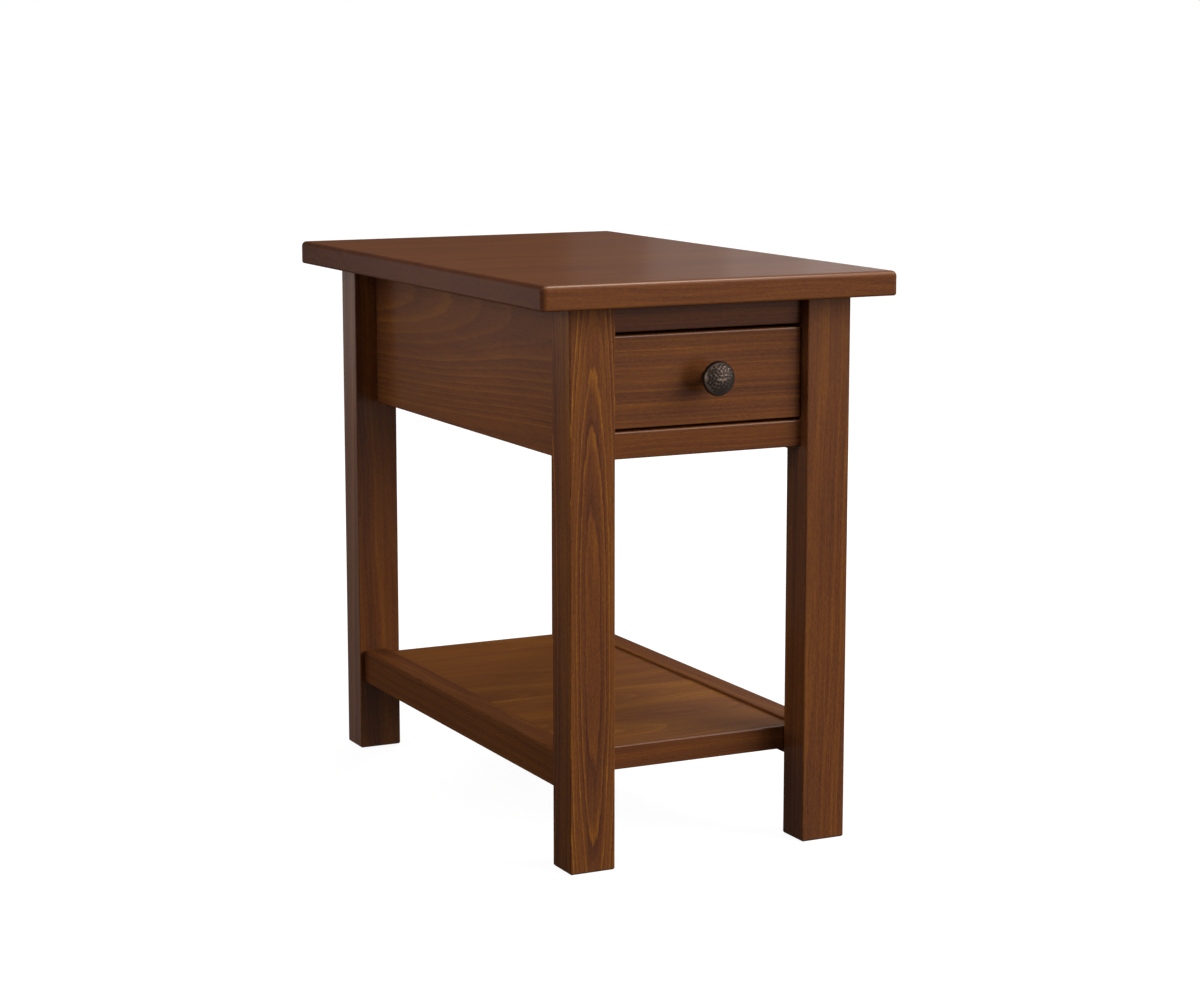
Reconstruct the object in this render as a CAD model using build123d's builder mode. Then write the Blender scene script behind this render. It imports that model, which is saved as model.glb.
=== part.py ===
from build123d import *
from math import atan, degrees, sqrt
import os

os.makedirs("parts", exist_ok=True)

# Side table with one drawer, in millimetres. The origin is on the floor under the middle of the table
# top. X runs across the drawer front, +Y runs to the back and +Z is up, so the drawer opens along -Y.
# Pieces that exist on both sides are drawn on the right (+X) and mirrored to the left.

# ---------------------------------------------------------------------------------------------------
# Driving sizes
# ---------------------------------------------------------------------------------------------------

# Table top: boards glued edge to edge, with a round-over above and a smaller one below
table_height = 610
top_width = 410
top_depth = 676
top_thickness = 26
top_side_overhang = 42
top_end_overhang = 25.5
top_corner_radius = 6
top_edge_radius = 5.5
top_under_radius = 2.5

# Legs
leg_width = 51
leg_depth = 42
leg_edge_radius = 1.5
leg_foot_chamfer = 1.5

# Aprons and drawer rails, all sawn from boards of one thickness
board = 24
board_edge_radius = 1.5
apron_height = 163.5
rail_height = 28
drawer_opening = 101.5
front_setback = 12.5

# Shelf: a glued panel let in a little below the tops of its two rails
shelf_rail_width = 29
shelf_rail_height = 39
shelf_rail_low = 81
shelf_rail_inset = 6.5
shelf_rail_edge_radius = 1.5
shelf_thickness = 25
shelf_step = 2.5
shelf_leg_gap = 3.75
shelf_edge_radius = 1.2
dowel_radius = 4
dowel_length = 30
dowel_spacing = 150
dowels_a_side = 4

# Mortise and tenon joints
tenon_length = 25
tenon_thickness = 8
tenon_shoulder = 5
apron_tenon_height = 84
shelf_tenon_thickness = 10
shelf_tenon_shoulder = 6
glue_gap = 0.1
mortise_spare = 1.5

# Corner blocks and cleats, which hold the top down
block_leg = 45
block_end = 8
block_height = 22
block_screw_from_corner = 28
block_screw_seat = 10
block_screw_spread = 9
block_top_screw_from_corner = 14
block_top_counterbore = 6
cleat_size = 18
cleat_length = 160
cleat_top_screw_spacing = 100
cleat_side_screw_spacing = 40
slot_travel = 5.5

# Screws
screw_radius = 2
screw_head_radius = 4
screw_head_height = 2.4
screw_long = 30
screw_short = 25
screw_tip = 3
screw_gap = 0.05
head_room = 0.5

# Drawer
front_thickness = 20
front_side_gap = 1.25
front_gap_above = 3.5
front_gap_below = 3
front_edge_radius = 1.2
box_back_room = 56
box_height = 74
box_lift = 11.5
box_wall = 12
box_edge_ease = 1.5
tail_share = 0.68
tail_slope = 1 / 6
tail_pitch = 22
joint_gap = 0.08
bottom_thickness = 5
groove_rise = 8
groove_depth = 6
groove_play = 0.2
bottom_edge_play = 0.5
front_screw_inset_x = 17
front_screw_inset_z = 20
bottom_screw_inset = 12
bottom_screw_radius = 1.5
bottom_screw_head_radius = 3
bottom_screw_head_height = 1.6
bottom_screw_length = 16

# Knob, cast in one piece round a blind threaded hole
knob_rise = 1.5
knob_radius = 18
knob_foot_radius = 6.5
knob_foot_length = 2
knob_neck_radius = 5.5
knob_neck_at = 9
knob_rim_at = 21
knob_rim_radius = 1.5
knob_rim_band = 1
knob_dome_rise = 9.5
knob_thread_radius = 2
knob_thread_depth = 12
knob_thread_engaged = 10

# Drawer slides: a channel on the frame and an angle on the drawer, with one roller on each
slide_space = 13
slide_steel = 1.2
slide_bend = 2
slide_axis_rise = 9
frame_slide_setback = 2
drawer_slide_setback = 0.5
drawer_travel = 375
running_gap = 0.2
stop_gap = 0.3
frame_roller_radius = 11
drawer_roller_radius = 9
roller_width = 6
roller_chamfer = 0.8
roller_recess = 1.2
roller_recess_inner = 4.6
roller_recess_rim = 2.5
roller_bore = 2.5
pin_clearance = 0.05
pin_head_radius = 4
pin_head_height = 1
pin_shoulder_radius = 3.8
roller_side_play = 0.2
roller_bay = 27
roller_pin_from_front = 12
channel_low_flange = 11
channel_high_flange = 7
carrier_flange = 10.5
stop_tab_drop = 4.7
stop_tab_width = 6.5
slide_screw_radius = 1.75
slide_screw_head_radius = 2.95
frame_slide_screw_length = 14
drawer_slide_screw_length = 10
drawer_slide_screw_rise = 6.5
frame_slide_screw_from_front = 60
frame_slide_screw_from_back = 60
drawer_slide_screw_from_front = 40
drawer_slide_screw_from_back = 60

# ---------------------------------------------------------------------------------------------------
# Places worked out from the driving sizes
# ---------------------------------------------------------------------------------------------------

FRONT = -1
BACK = 1

leg_height = table_height - top_thickness
leg_out_x = top_width / 2 - top_side_overhang
leg_out_y = top_depth / 2 - top_end_overhang
leg_in_x = leg_out_x - leg_width
leg_in_y = leg_out_y - leg_depth

face_y = leg_out_y - front_setback
board_back_y = face_y - board
board_mid_y = face_y - board / 2
apron_low = leg_height - apron_height
apron_mid_x = leg_in_x + board / 2
apron_mid_z = leg_height - apron_height / 2
top_rail_low = leg_height - rail_height
bottom_rail_high = top_rail_low - drawer_opening
bottom_rail_low = bottom_rail_high - rail_height

shelf_rail_out_x = leg_out_x - shelf_rail_inset
shelf_rail_in_x = shelf_rail_out_x - shelf_rail_width
shelf_rail_mid_x = shelf_rail_out_x - shelf_rail_width / 2
shelf_rail_high = shelf_rail_low + shelf_rail_height
shelf_rail_mid_z = shelf_rail_low + shelf_rail_height / 2
shelf_high = shelf_rail_high - shelf_step
shelf_mid_z = shelf_high - shelf_thickness / 2

front_width = 2 * (leg_in_x - front_side_gap)
front_low = bottom_rail_high + front_gap_below
front_height = drawer_opening - front_gap_below - front_gap_above
box_half = leg_in_x - slide_space
box_inner_half = box_half - box_wall
box_front_y = front_thickness - face_y
box_back_y = board_back_y - box_back_room
box_length = box_back_y - box_front_y
box_low = bottom_rail_high + box_lift
box_high = box_low + box_height
groove_low = box_low + groove_rise
groove_high = groove_low + bottom_thickness + groove_play
back_low = groove_high
knob_z = front_low + front_height / 2 + knob_rise

slide_length = box_length
slide_z = box_low + slide_axis_rise
roller_x = leg_in_x - slide_space / 2
frame_slide_front = box_front_y + frame_slide_setback
frame_slide_back = frame_slide_front + slide_length
drawer_slide_front = box_front_y + drawer_slide_setback
channel_inside = drawer_roller_radius + running_gap
channel_outside = channel_inside + slide_steel
carrier_under = slide_z + frame_roller_radius + running_gap
stop_reach = sqrt(drawer_roller_radius**2 - stop_tab_drop**2) + stop_gap
frame_roller_y = frame_slide_front + roller_pin_from_front
drawer_roller_y = frame_slide_back - slide_steel - stop_reach
pin_radius = roller_bore - pin_clearance


# ---------------------------------------------------------------------------------------------------
# Shared shapes
# ---------------------------------------------------------------------------------------------------

def keep(piece, name):
    """Labels a finished piece and writes it."""
    piece.part.label = name
    export_step(piece.part, f"parts/{name}.step")


def keep_pair(piece, name):
    """Writes a right-hand piece and its mirror image on the left."""
    keep(piece, f"right_{name}")
    with BuildPart() as left:
        mirror(piece.part, about=Plane.YZ)
    keep(left, f"left_{name}")


def facing_x(x, y, z, way=1):
    """A plane at a point that looks along X, the way that a tenon or a screw goes in."""
    return Plane(origin=(x, y, z), x_dir=(0, 1, 0), z_dir=(way, 0, 0))


def facing_y(x, y, z, way):
    """A plane at a point that looks along Y."""
    return Plane(origin=(x, y, z), x_dir=(1, 0, 0), z_dir=(0, way, 0))


def facing_up(x, y, z):
    """A plane at a point that looks straight up."""
    return Plane(origin=(x, y, z), x_dir=(1, 0, 0), z_dir=(0, 0, 1))


def tenon(plane, thickness, height):
    """A tenon that stands on the plane, where the shoulder of its board is."""
    with BuildSketch(plane) as outline:
        Rectangle(thickness, height)
    extrude(outline.sketch, amount=tenon_length)


def mortise(plane, thickness, height):
    """The hole for that tenon, with room for glue around it and at its end."""
    with BuildSketch(plane) as outline:
        Rectangle(thickness + 2 * glue_gap, height + 2 * glue_gap)
    extrude(outline.sketch, amount=tenon_length + mortise_spare, mode=Mode.SUBTRACT)


def round_screw(plane, length, radius=screw_radius, head_radius=screw_head_radius,
                head_height=screw_head_height):
    """A round-headed screw: the plane is the head's seat and looks the way the screw points."""
    with BuildSketch(plane) as outline:
        Circle(head_radius)
    extrude(outline.sketch, amount=-head_height, taper=20)
    with BuildSketch(plane) as outline:
        Circle(radius)
    extrude(outline.sketch, amount=length - screw_tip)
    with BuildSketch(plane.offset(length - screw_tip)) as outline:
        Circle(radius)
    extrude(outline.sketch, amount=screw_tip, taper=25)


def flat_screw(plane, length):
    """A slide screw, whose countersunk head lies flush in the steel."""
    with BuildSketch(plane) as outline:
        Circle(slide_screw_head_radius)
    extrude(outline.sketch, amount=slide_steel, taper=45)
    with BuildSketch(plane) as outline:
        Circle(slide_screw_radius)
    extrude(outline.sketch, amount=length)


def screw_hole(plane, length, radius=screw_radius):
    """A hole that a screw fills, from the head's seat to its tip."""
    with BuildSketch(plane) as outline:
        Circle(radius + screw_gap)
    extrude(outline.sketch, amount=length + head_room, mode=Mode.SUBTRACT)


# ---------------------------------------------------------------------------------------------------
# Joints between the legs and the boards, right-hand side
# ---------------------------------------------------------------------------------------------------

def side_apron_joint(end):
    return facing_y(apron_mid_x, end * leg_in_y, apron_mid_z, end), tenon_thickness, apron_tenon_height


def shelf_rail_joint(end):
    height = shelf_rail_height - 2 * shelf_tenon_shoulder
    return facing_y(shelf_rail_mid_x, end * leg_in_y, shelf_rail_mid_z, end), shelf_tenon_thickness, height


def rail_joint(end, z_low):
    """A tenon of rail height on the end of a cross board, with its shoulders above and below."""
    place = facing_x(leg_in_x, end * board_mid_y, z_low + rail_height / 2)
    return place, tenon_thickness, rail_height - 2 * tenon_shoulder


def back_apron_joints():
    """The back apron has two tenons, above and below the tenon of the side apron."""
    return rail_joint(BACK, top_rail_low), rail_joint(BACK, apron_low)


def leg_joints(end):
    cross = back_apron_joints()
    if end == FRONT:
        cross = rail_joint(FRONT, top_rail_low), rail_joint(FRONT, bottom_rail_low)
    return side_apron_joint(end), shelf_rail_joint(end), *cross


# ---------------------------------------------------------------------------------------------------
# Screw places, right-hand side
# ---------------------------------------------------------------------------------------------------

block_low = leg_height - block_height
block_screw_z = leg_height - block_height / 2
cleat_low = leg_height - cleat_size
cleat_mid = leg_height - cleat_size / 2


def block_cross_screw(end):
    """Through a corner block into the top rail or the back apron."""
    x = leg_in_x - block_screw_from_corner
    z = block_screw_z - block_screw_spread / 2
    return facing_y(x, end * (board_back_y - block_screw_seat), z, end)


def block_side_screw(end):
    """Through a corner block into the side apron."""
    y = end * (board_back_y - block_screw_from_corner)
    z = block_screw_z + block_screw_spread / 2
    return facing_x(leg_in_x - block_screw_seat, y, z)


def block_top_screw(end):
    """Up through a corner block into the table top."""
    x = leg_in_x - block_top_screw_from_corner
    y = end * (board_back_y - block_top_screw_from_corner)
    return facing_up(x, y, block_low + block_top_counterbore)


cleat_side_screws = [
    facing_x(leg_in_x - cleat_size, side * cleat_side_screw_spacing / 2, cleat_mid)
    for side in (FRONT, BACK)
]
cleat_top_screws = [
    facing_up(leg_in_x - cleat_size / 2, side * cleat_top_screw_spacing / 2, cleat_low)
    for side in (FRONT, BACK)
]
top_screws = [block_top_screw(FRONT), block_top_screw(BACK), *cleat_top_screws]


def three_along(front, back):
    """The places of a slide's three screws: one near each end and one midway."""
    return front, (front + back) / 2, back


frame_slide_screws = [
    facing_x(leg_in_x - slide_steel, y, slide_z)
    for y in three_along(
        frame_slide_front + frame_slide_screw_from_front,
        frame_slide_back - frame_slide_screw_from_back,
    )
]
drawer_slide_screws = [
    facing_x(box_half + slide_steel, y, slide_z + drawer_slide_screw_rise, -1)
    for y in three_along(
        drawer_slide_front + drawer_slide_screw_from_front,
        drawer_slide_front + slide_length - drawer_slide_screw_from_back,
    )
]
drawer_front_screws = [
    facing_y(side * (box_inner_half - front_screw_inset_x), box_front_y + box_wall, z, FRONT)
    for side in (-1, 1)
    for z in (box_low + front_screw_inset_z, box_high - front_screw_inset_z)
]
bottom_screws = [
    facing_up(side * (box_inner_half - bottom_screw_inset), box_back_y - box_wall / 2,
              groove_low + groove_play / 2)
    for side in (-1, 0, 1)
]
knob_screw_place = facing_y(0, box_front_y + box_wall, knob_z, FRONT)
knob_screw_length = box_wall + front_thickness + knob_thread_engaged


# ---------------------------------------------------------------------------------------------------
# Table top
# ---------------------------------------------------------------------------------------------------

with BuildPart() as table_top:
    with BuildSketch(Plane.XY.offset(leg_height)):
        RectangleRounded(top_width, top_depth, top_corner_radius)
    extrude(amount=top_thickness)
    fillet(table_top.faces().sort_by(Axis.Z)[-1].edges(), top_edge_radius)
    fillet(table_top.faces().sort_by(Axis.Z)[0].edges(), top_under_radius)
    for place in top_screws:
        screw_hole(place, screw_long)
        screw_hole(facing_up(-place.origin.X, place.origin.Y, place.origin.Z), screw_long)
keep(table_top, "table_top")


# ---------------------------------------------------------------------------------------------------
# Legs, with a mortise for every board that meets them
# ---------------------------------------------------------------------------------------------------

for end, end_name in ((FRONT, "front"), (BACK, "back")):
    with BuildPart() as leg:
        with BuildSketch():
            with Locations((leg_in_x + leg_width / 2, end * (leg_in_y + leg_depth / 2))):
                Rectangle(leg_width, leg_depth)
        extrude(amount=leg_height)
        fillet(leg.edges().filter_by(Axis.Z), leg_edge_radius)
        chamfer(leg.faces().sort_by(Axis.Z)[0].edges(), leg_foot_chamfer)
        for joint in leg_joints(end):
            mortise(*joint)
    keep_pair(leg, f"{end_name}_leg")


# ---------------------------------------------------------------------------------------------------
# Aprons and drawer rails
# ---------------------------------------------------------------------------------------------------

with BuildPart() as side_apron:
    with BuildSketch(Plane.XZ):
        with Locations((apron_mid_x, apron_mid_z)):
            Rectangle(board, apron_height)
    extrude(amount=leg_in_y, both=True)
    low_edges = side_apron.edges().filter_by(Axis.Y).group_by(Axis.Z)[0]
    fillet(low_edges, board_edge_radius)
    for end in (FRONT, BACK):
        tenon(*side_apron_joint(end))
        screw_hole(block_side_screw(end), screw_short)
    for place in cleat_side_screws:
        screw_hole(place, screw_long)
    for place in frame_slide_screws:
        screw_hole(place, frame_slide_screw_length, slide_screw_radius)
keep_pair(side_apron, "side_apron")

with BuildPart() as back_apron:
    with BuildSketch(Plane.YZ):
        with Locations((board_mid_y, apron_mid_z)):
            Rectangle(board, apron_height)
    extrude(amount=leg_in_x)
    fillet(back_apron.edges().filter_by(Axis.X).group_by(Axis.Z)[0], board_edge_radius)
    for joint in back_apron_joints():
        tenon(*joint)
    screw_hole(block_cross_screw(BACK), screw_short)
    mirror(about=Plane.YZ)
keep(back_apron, "back_apron")

with BuildPart() as top_rail:
    with BuildSketch(Plane.YZ):
        with Locations((-board_mid_y, top_rail_low + rail_height / 2)):
            Rectangle(board, rail_height)
    extrude(amount=leg_in_x)
    fillet(top_rail.edges().filter_by(Axis.X).group_by(Axis.Z)[0], board_edge_radius)
    tenon(*rail_joint(FRONT, top_rail_low))
    screw_hole(block_cross_screw(FRONT), screw_short)
    mirror(about=Plane.YZ)
keep(top_rail, "top_rail")

with BuildPart() as bottom_rail:
    with BuildSketch(Plane.YZ):
        with Locations((-board_mid_y, bottom_rail_low + rail_height / 2)):
            Rectangle(board, rail_height)
    extrude(amount=leg_in_x)
    fillet(bottom_rail.edges().filter_by(Axis.X), board_edge_radius)
    tenon(*rail_joint(FRONT, bottom_rail_low))
    mirror(about=Plane.YZ)
keep(bottom_rail, "bottom_rail")


# ---------------------------------------------------------------------------------------------------
# Shelf: two rails, the panel between them and the dowels that carry it
# ---------------------------------------------------------------------------------------------------

dowel_run = dowel_spacing * (dowels_a_side - 1)
dowel_places = [
    facing_x(shelf_rail_in_x - dowel_length / 2, n * dowel_spacing - dowel_run / 2, shelf_mid_z)
    for n in range(dowels_a_side)
]


def dowel_holes():
    for place in dowel_places:
        with BuildSketch(place.offset(-glue_gap)) as outline:
            Circle(dowel_radius + glue_gap)
        extrude(outline.sketch, amount=dowel_length + 2 * glue_gap, mode=Mode.SUBTRACT)


with BuildPart() as shelf_rail:
    with BuildSketch(Plane.XZ):
        with Locations((shelf_rail_mid_x, shelf_rail_mid_z)):
            Rectangle(shelf_rail_width, shelf_rail_height)
    extrude(amount=leg_in_y, both=True)
    fillet(shelf_rail.edges().filter_by(Axis.Y), shelf_rail_edge_radius)
    for end in (FRONT, BACK):
        tenon(*shelf_rail_joint(end))
    dowel_holes()
keep_pair(shelf_rail, "shelf_rail")

with BuildPart() as shelf:
    with BuildSketch(Plane.YZ):
        with Locations((0, shelf_mid_z)):
            Rectangle(2 * (leg_in_y - shelf_leg_gap), shelf_thickness)
    extrude(amount=shelf_rail_in_x)
    fillet(shelf.edges().filter_by(Axis.X), shelf_edge_radius)
    dowel_holes()
    mirror(about=Plane.YZ)
keep(shelf, "shelf_panel")

with BuildPart() as shelf_dowels:
    for place in dowel_places:
        with BuildSketch(place):
            Circle(dowel_radius)
        extrude(amount=dowel_length)
    mirror(about=Plane.YZ)
keep(shelf_dowels, "shelf_dowels")


# ---------------------------------------------------------------------------------------------------
# Corner blocks and cleats: the slots let the wide top swell and shrink along the table
# ---------------------------------------------------------------------------------------------------

for end, end_name in ((FRONT, "front"), (BACK, "back")):
    with BuildPart() as corner_block:
        with BuildSketch(Plane.XY.offset(block_low)):
            with BuildLine():
                corner = Vector(leg_in_x, end * board_back_y)
                Polyline(
                    corner,
                    corner - (block_leg, 0),
                    corner - (block_leg, end * block_end),
                    corner - (block_end, end * block_leg),
                    corner - (0, end * block_leg),
                    close=True,
                )
            make_face()
        extrude(amount=block_height)
        for place in (block_cross_screw(end), block_side_screw(end)):
            screw_hole(place, block_screw_seat)
            with BuildSketch(place):
                Circle(screw_head_radius + head_room)
            extrude(amount=-block_leg, mode=Mode.SUBTRACT)
        place = block_top_screw(end)
        with BuildSketch(place):
            SlotCenterToCenter(slot_travel, 2 * (screw_radius + screw_gap), rotation=90)
        extrude(until=Until.LAST, mode=Mode.SUBTRACT)
        with BuildSketch(place):
            SlotCenterToCenter(slot_travel, 2 * (screw_head_radius + head_room), rotation=90)
        extrude(amount=-block_top_counterbore, mode=Mode.SUBTRACT)
    keep_pair(corner_block, f"{end_name}_corner_block")

with BuildPart() as top_cleat:
    with BuildSketch(Plane.XZ):
        with Locations((leg_in_x - cleat_size / 2, cleat_mid)):
            Rectangle(cleat_size, cleat_size)
    extrude(amount=cleat_length / 2, both=True)
    for place in (*cleat_side_screws, *cleat_top_screws):
        screw_hole(place, cleat_size)
keep_pair(top_cleat, "top_cleat")

with BuildPart() as corner_block_screws:
    for end in (FRONT, BACK):
        round_screw(block_cross_screw(end), screw_short)
        round_screw(block_side_screw(end), screw_short)
    mirror(about=Plane.YZ)
keep(corner_block_screws, "corner_block_screws")

with BuildPart() as cleat_screws:
    for place in cleat_side_screws:
        round_screw(place, screw_long)
    mirror(about=Plane.YZ)
keep(cleat_screws, "top_cleat_screws")

with BuildPart() as table_top_screws:
    for place in top_screws:
        round_screw(place, screw_long)
    mirror(about=Plane.YZ)
keep(table_top_screws, "table_top_screws")


# ---------------------------------------------------------------------------------------------------
# Drawer box, dovetailed at its four corners
# ---------------------------------------------------------------------------------------------------

def tails(end, low, high, gap=0.0):
    """The tails at one end of a drawer side, drawn on its face: they widen towards the end."""
    count = round((high - low) / tail_pitch)
    pitch = (high - low) / count
    y = box_front_y if end == FRONT else box_back_y
    middle_y = y - end * box_wall / 2
    for n in range(count):
        with Locations((middle_y, low + pitch * (n + 0.5))):
            Trapezoid(
                tail_share * pitch + 2 * gap,
                box_wall,
                90 - degrees(atan(tail_slope)),
                rotation=90 * end,
            )


with BuildPart() as drawer_side:
    with BuildSketch(Plane.YZ.offset(box_inner_half)):
        with Locations(((box_front_y + box_back_y) / 2, (box_low + box_high) / 2)):
            Rectangle(box_length - 2 * box_wall, box_height)
        tails(FRONT, box_low, box_high)
        tails(BACK, back_low, box_high)
        with Locations((box_back_y - box_wall / 2, (box_low + back_low) / 2)):
            Rectangle(box_wall, back_low - box_low)
    extrude(amount=box_wall)
    under_edges = drawer_side.edges().filter_by(Axis.Y).group_by(Axis.Z)[0]
    chamfer(under_edges, box_edge_ease)
    with BuildSketch(Plane.YZ.offset(box_inner_half)):
        with Locations(((box_front_y + box_back_y) / 2, (groove_low + groove_high) / 2)):
            Rectangle(box_length, groove_high - groove_low)
    extrude(amount=groove_depth, mode=Mode.SUBTRACT)
    for place in drawer_slide_screws:
        screw_hole(place, drawer_slide_screw_length, slide_screw_radius)
keep_pair(drawer_side, "drawer_side")

with BuildPart() as drawer_box_front:
    with BuildSketch(Plane.YZ):
        with Locations((box_front_y + box_wall / 2, (box_low + box_high) / 2)):
            Rectangle(box_wall, box_height)
    extrude(amount=box_half)
    under_edge = drawer_box_front.edges().filter_by(Axis.Y).group_by(Axis.Z)[0].sort_by(Axis.X)[-1]
    chamfer(under_edge, box_edge_ease)
    with BuildSketch(Plane.YZ.offset(box_inner_half)):
        tails(FRONT, box_low, box_high, joint_gap)
    extrude(amount=box_wall, mode=Mode.SUBTRACT)
    with BuildSketch(Plane.YZ):
        with Locations((box_front_y + box_wall - groove_depth / 2, (groove_low + groove_high) / 2)):
            Rectangle(groove_depth, groove_high - groove_low)
    extrude(amount=box_inner_half + groove_depth, mode=Mode.SUBTRACT)
    mirror(about=Plane.YZ)
    for place in drawer_front_screws:
        screw_hole(place, screw_short)
    screw_hole(knob_screw_place, knob_screw_length, knob_thread_radius)
keep(drawer_box_front, "drawer_box_front")

with BuildPart() as drawer_box_back:
    with BuildSketch(Plane.YZ):
        with Locations((box_back_y - box_wall / 2, (back_low + box_high) / 2)):
            Rectangle(box_wall, box_high - back_low)
    extrude(amount=box_half)
    with BuildSketch(Plane.YZ.offset(box_inner_half)):
        tails(BACK, back_low, box_high, joint_gap)
    extrude(amount=box_wall, mode=Mode.SUBTRACT)
    mirror(about=Plane.YZ)
    for place in bottom_screws:
        screw_hole(place, bottom_screw_length, bottom_screw_radius)
keep(drawer_box_back, "drawer_box_back")

with BuildPart() as drawer_bottom:
    panel_half = box_inner_half + groove_depth - bottom_edge_play
    panel_front = box_front_y + box_wall - groove_depth + bottom_edge_play
    with BuildSketch(Plane.XY.offset(groove_low + groove_play / 2)):
        with Locations((0, (panel_front + box_back_y) / 2)):
            Rectangle(2 * panel_half, box_back_y - panel_front)
    extrude(amount=bottom_thickness)
    for place in bottom_screws:
        screw_hole(place, bottom_screw_length, bottom_screw_radius)
keep(drawer_bottom, "drawer_bottom")

with BuildPart() as drawer_bottom_screws:
    for place in bottom_screws:
        round_screw(place, bottom_screw_length, bottom_screw_radius, bottom_screw_head_radius,
                    bottom_screw_head_height)
keep(drawer_bottom_screws, "drawer_bottom_screws")


# ---------------------------------------------------------------------------------------------------
# Drawer front and knob
# ---------------------------------------------------------------------------------------------------

with BuildPart() as drawer_front:
    with BuildSketch(Plane.XZ.offset(face_y)):
        with Locations((0, front_low + front_height / 2)):
            Rectangle(front_width, front_height)
    extrude(amount=-front_thickness)
    fillet(drawer_front.faces().sort_by(Axis.Y)[0].edges(), front_edge_radius)
    for place in drawer_front_screws:
        screw_hole(place, screw_short)
    screw_hole(knob_screw_place, knob_screw_length, knob_thread_radius)
keep(drawer_front, "drawer_front")

with BuildPart() as drawer_front_fixings:
    for place in drawer_front_screws:
        round_screw(place, screw_short)
keep(drawer_front_fixings, "drawer_front_screws")

with BuildPart() as knob:
    # The profile lies in the plane of the knob's axis: outwards from the drawer front, then radius.
    with BuildSketch(Plane(origin=(0, -face_y, knob_z), x_dir=(0, -1, 0), z_dir=(-1, 0, 0))):
        with BuildLine():
            thread = knob_thread_radius + screw_gap
            rim_foot = knob_radius - knob_rim_radius
            rim_round_end = knob_rim_at + knob_rim_radius
            dome_at = rim_round_end + knob_rim_band
            tip = dome_at + knob_dome_rise
            Polyline(
                (tip, 0),
                (knob_thread_depth, 0),
                (knob_thread_depth, thread),
                (0, thread),
                (0, knob_foot_radius),
                (knob_foot_length, knob_foot_radius),
            )
            Spline(
                (knob_foot_length, knob_foot_radius),
                (knob_neck_at, knob_neck_radius),
                (knob_rim_at, rim_foot),
                tangents=((0, -1), (1, 2)),
            )
            CenterArc((rim_round_end, rim_foot), knob_rim_radius, 90, 90)
            Line((rim_round_end, knob_radius), (dome_at, knob_radius))
            EllipticalCenterArc((dome_at, 0), knob_dome_rise, knob_radius, start_angle=0, arc_size=90)
        make_face()
    revolve(axis=Axis((0, -face_y, knob_z), (0, 1, 0)))
keep(knob, "knob")

with BuildPart() as knob_screw:
    round_screw(knob_screw_place, knob_screw_length, knob_thread_radius)
keep(knob_screw, "knob_screw")


# ---------------------------------------------------------------------------------------------------
# Drawer slides, each bent from one strip of steel
# ---------------------------------------------------------------------------------------------------

def countersinks(places, length):
    """Holes in the steel that match the flat-headed screws."""
    for place in places:
        with BuildSketch(place) as outline:
            Circle(slide_screw_head_radius + screw_gap)
        extrude(outline.sketch, amount=slide_steel, taper=45, mode=Mode.SUBTRACT)
        screw_hole(place, length, slide_screw_radius)


with BuildPart() as frame_slide:
    # The channel behind the roller bay
    with BuildSketch(Plane.XZ.offset(-frame_slide_front - roller_bay)):
        with BuildLine():
            FilletPolyline(
                (leg_in_x - channel_low_flange, slide_z - channel_outside),
                (leg_in_x, slide_z - channel_outside),
                (leg_in_x, slide_z + channel_outside),
                (leg_in_x - channel_high_flange, slide_z + channel_outside),
                radius=slide_bend,
            )
            offset(amount=slide_steel, side=Side.LEFT)
        make_face()
    extrude(amount=-(slide_length - roller_bay))
    # The web alone, in front of it, where the roller's pin is riveted
    with BuildSketch(Plane.YZ.offset(leg_in_x - slide_steel)) as nose:
        with Locations((frame_slide_front + roller_bay / 2, slide_z)):
            Rectangle(roller_bay, 2 * (channel_outside - slide_bend))
        nose_corners = nose.vertices().group_by(Axis.Y)[0]
        fillet(nose_corners, slide_bend * 2)
    extrude(amount=slide_steel)
    # The lip at the back, which stops the drawer's roller when the drawer is shut, and the tab inside
    # the upper flange, which stops it when the drawer is out
    lip_width = channel_low_flange - slide_steel
    with BuildSketch(Plane.XZ.offset(-frame_slide_back + slide_steel)):
        with Locations((leg_in_x - slide_steel - lip_width / 2,
                        slide_z - (channel_inside + stop_tab_drop) / 2)):
            Rectangle(lip_width, channel_inside - stop_tab_drop)
    extrude(amount=-slide_steel)
    with BuildSketch(Plane.XZ.offset(-drawer_roller_y + drawer_travel + stop_reach)):
        with Locations((leg_in_x - slide_steel - stop_tab_width / 2,
                        slide_z + (channel_inside + stop_tab_drop) / 2)):
            Rectangle(stop_tab_width, channel_inside - stop_tab_drop)
    extrude(amount=slide_steel)
    with BuildSketch(facing_x(leg_in_x - slide_steel, frame_roller_y, slide_z)):
        Circle(pin_radius + screw_gap)
    extrude(amount=slide_steel, mode=Mode.SUBTRACT)
    countersinks(frame_slide_screws, frame_slide_screw_length)
keep_pair(frame_slide, "frame_slide")

with BuildPart() as drawer_slide:
    with BuildSketch(Plane.XZ.offset(-drawer_slide_front)):
        with BuildLine():
            FilletPolyline(
                (box_half + slide_steel - carrier_flange, box_low - slide_steel),
                (box_half + slide_steel, box_low - slide_steel),
                (box_half + slide_steel, carrier_under),
                (box_half + carrier_flange, carrier_under),
                radius=slide_bend,
            )
            offset(amount=slide_steel, side=Side.LEFT)
        make_face()
    extrude(amount=-slide_length)
    with BuildSketch(facing_x(box_half, drawer_roller_y, slide_z)):
        Circle(pin_radius + screw_gap)
    extrude(amount=slide_steel, mode=Mode.SUBTRACT)
    countersinks(drawer_slide_screws, drawer_slide_screw_length)
keep_pair(drawer_slide, "drawer_slide")


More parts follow.
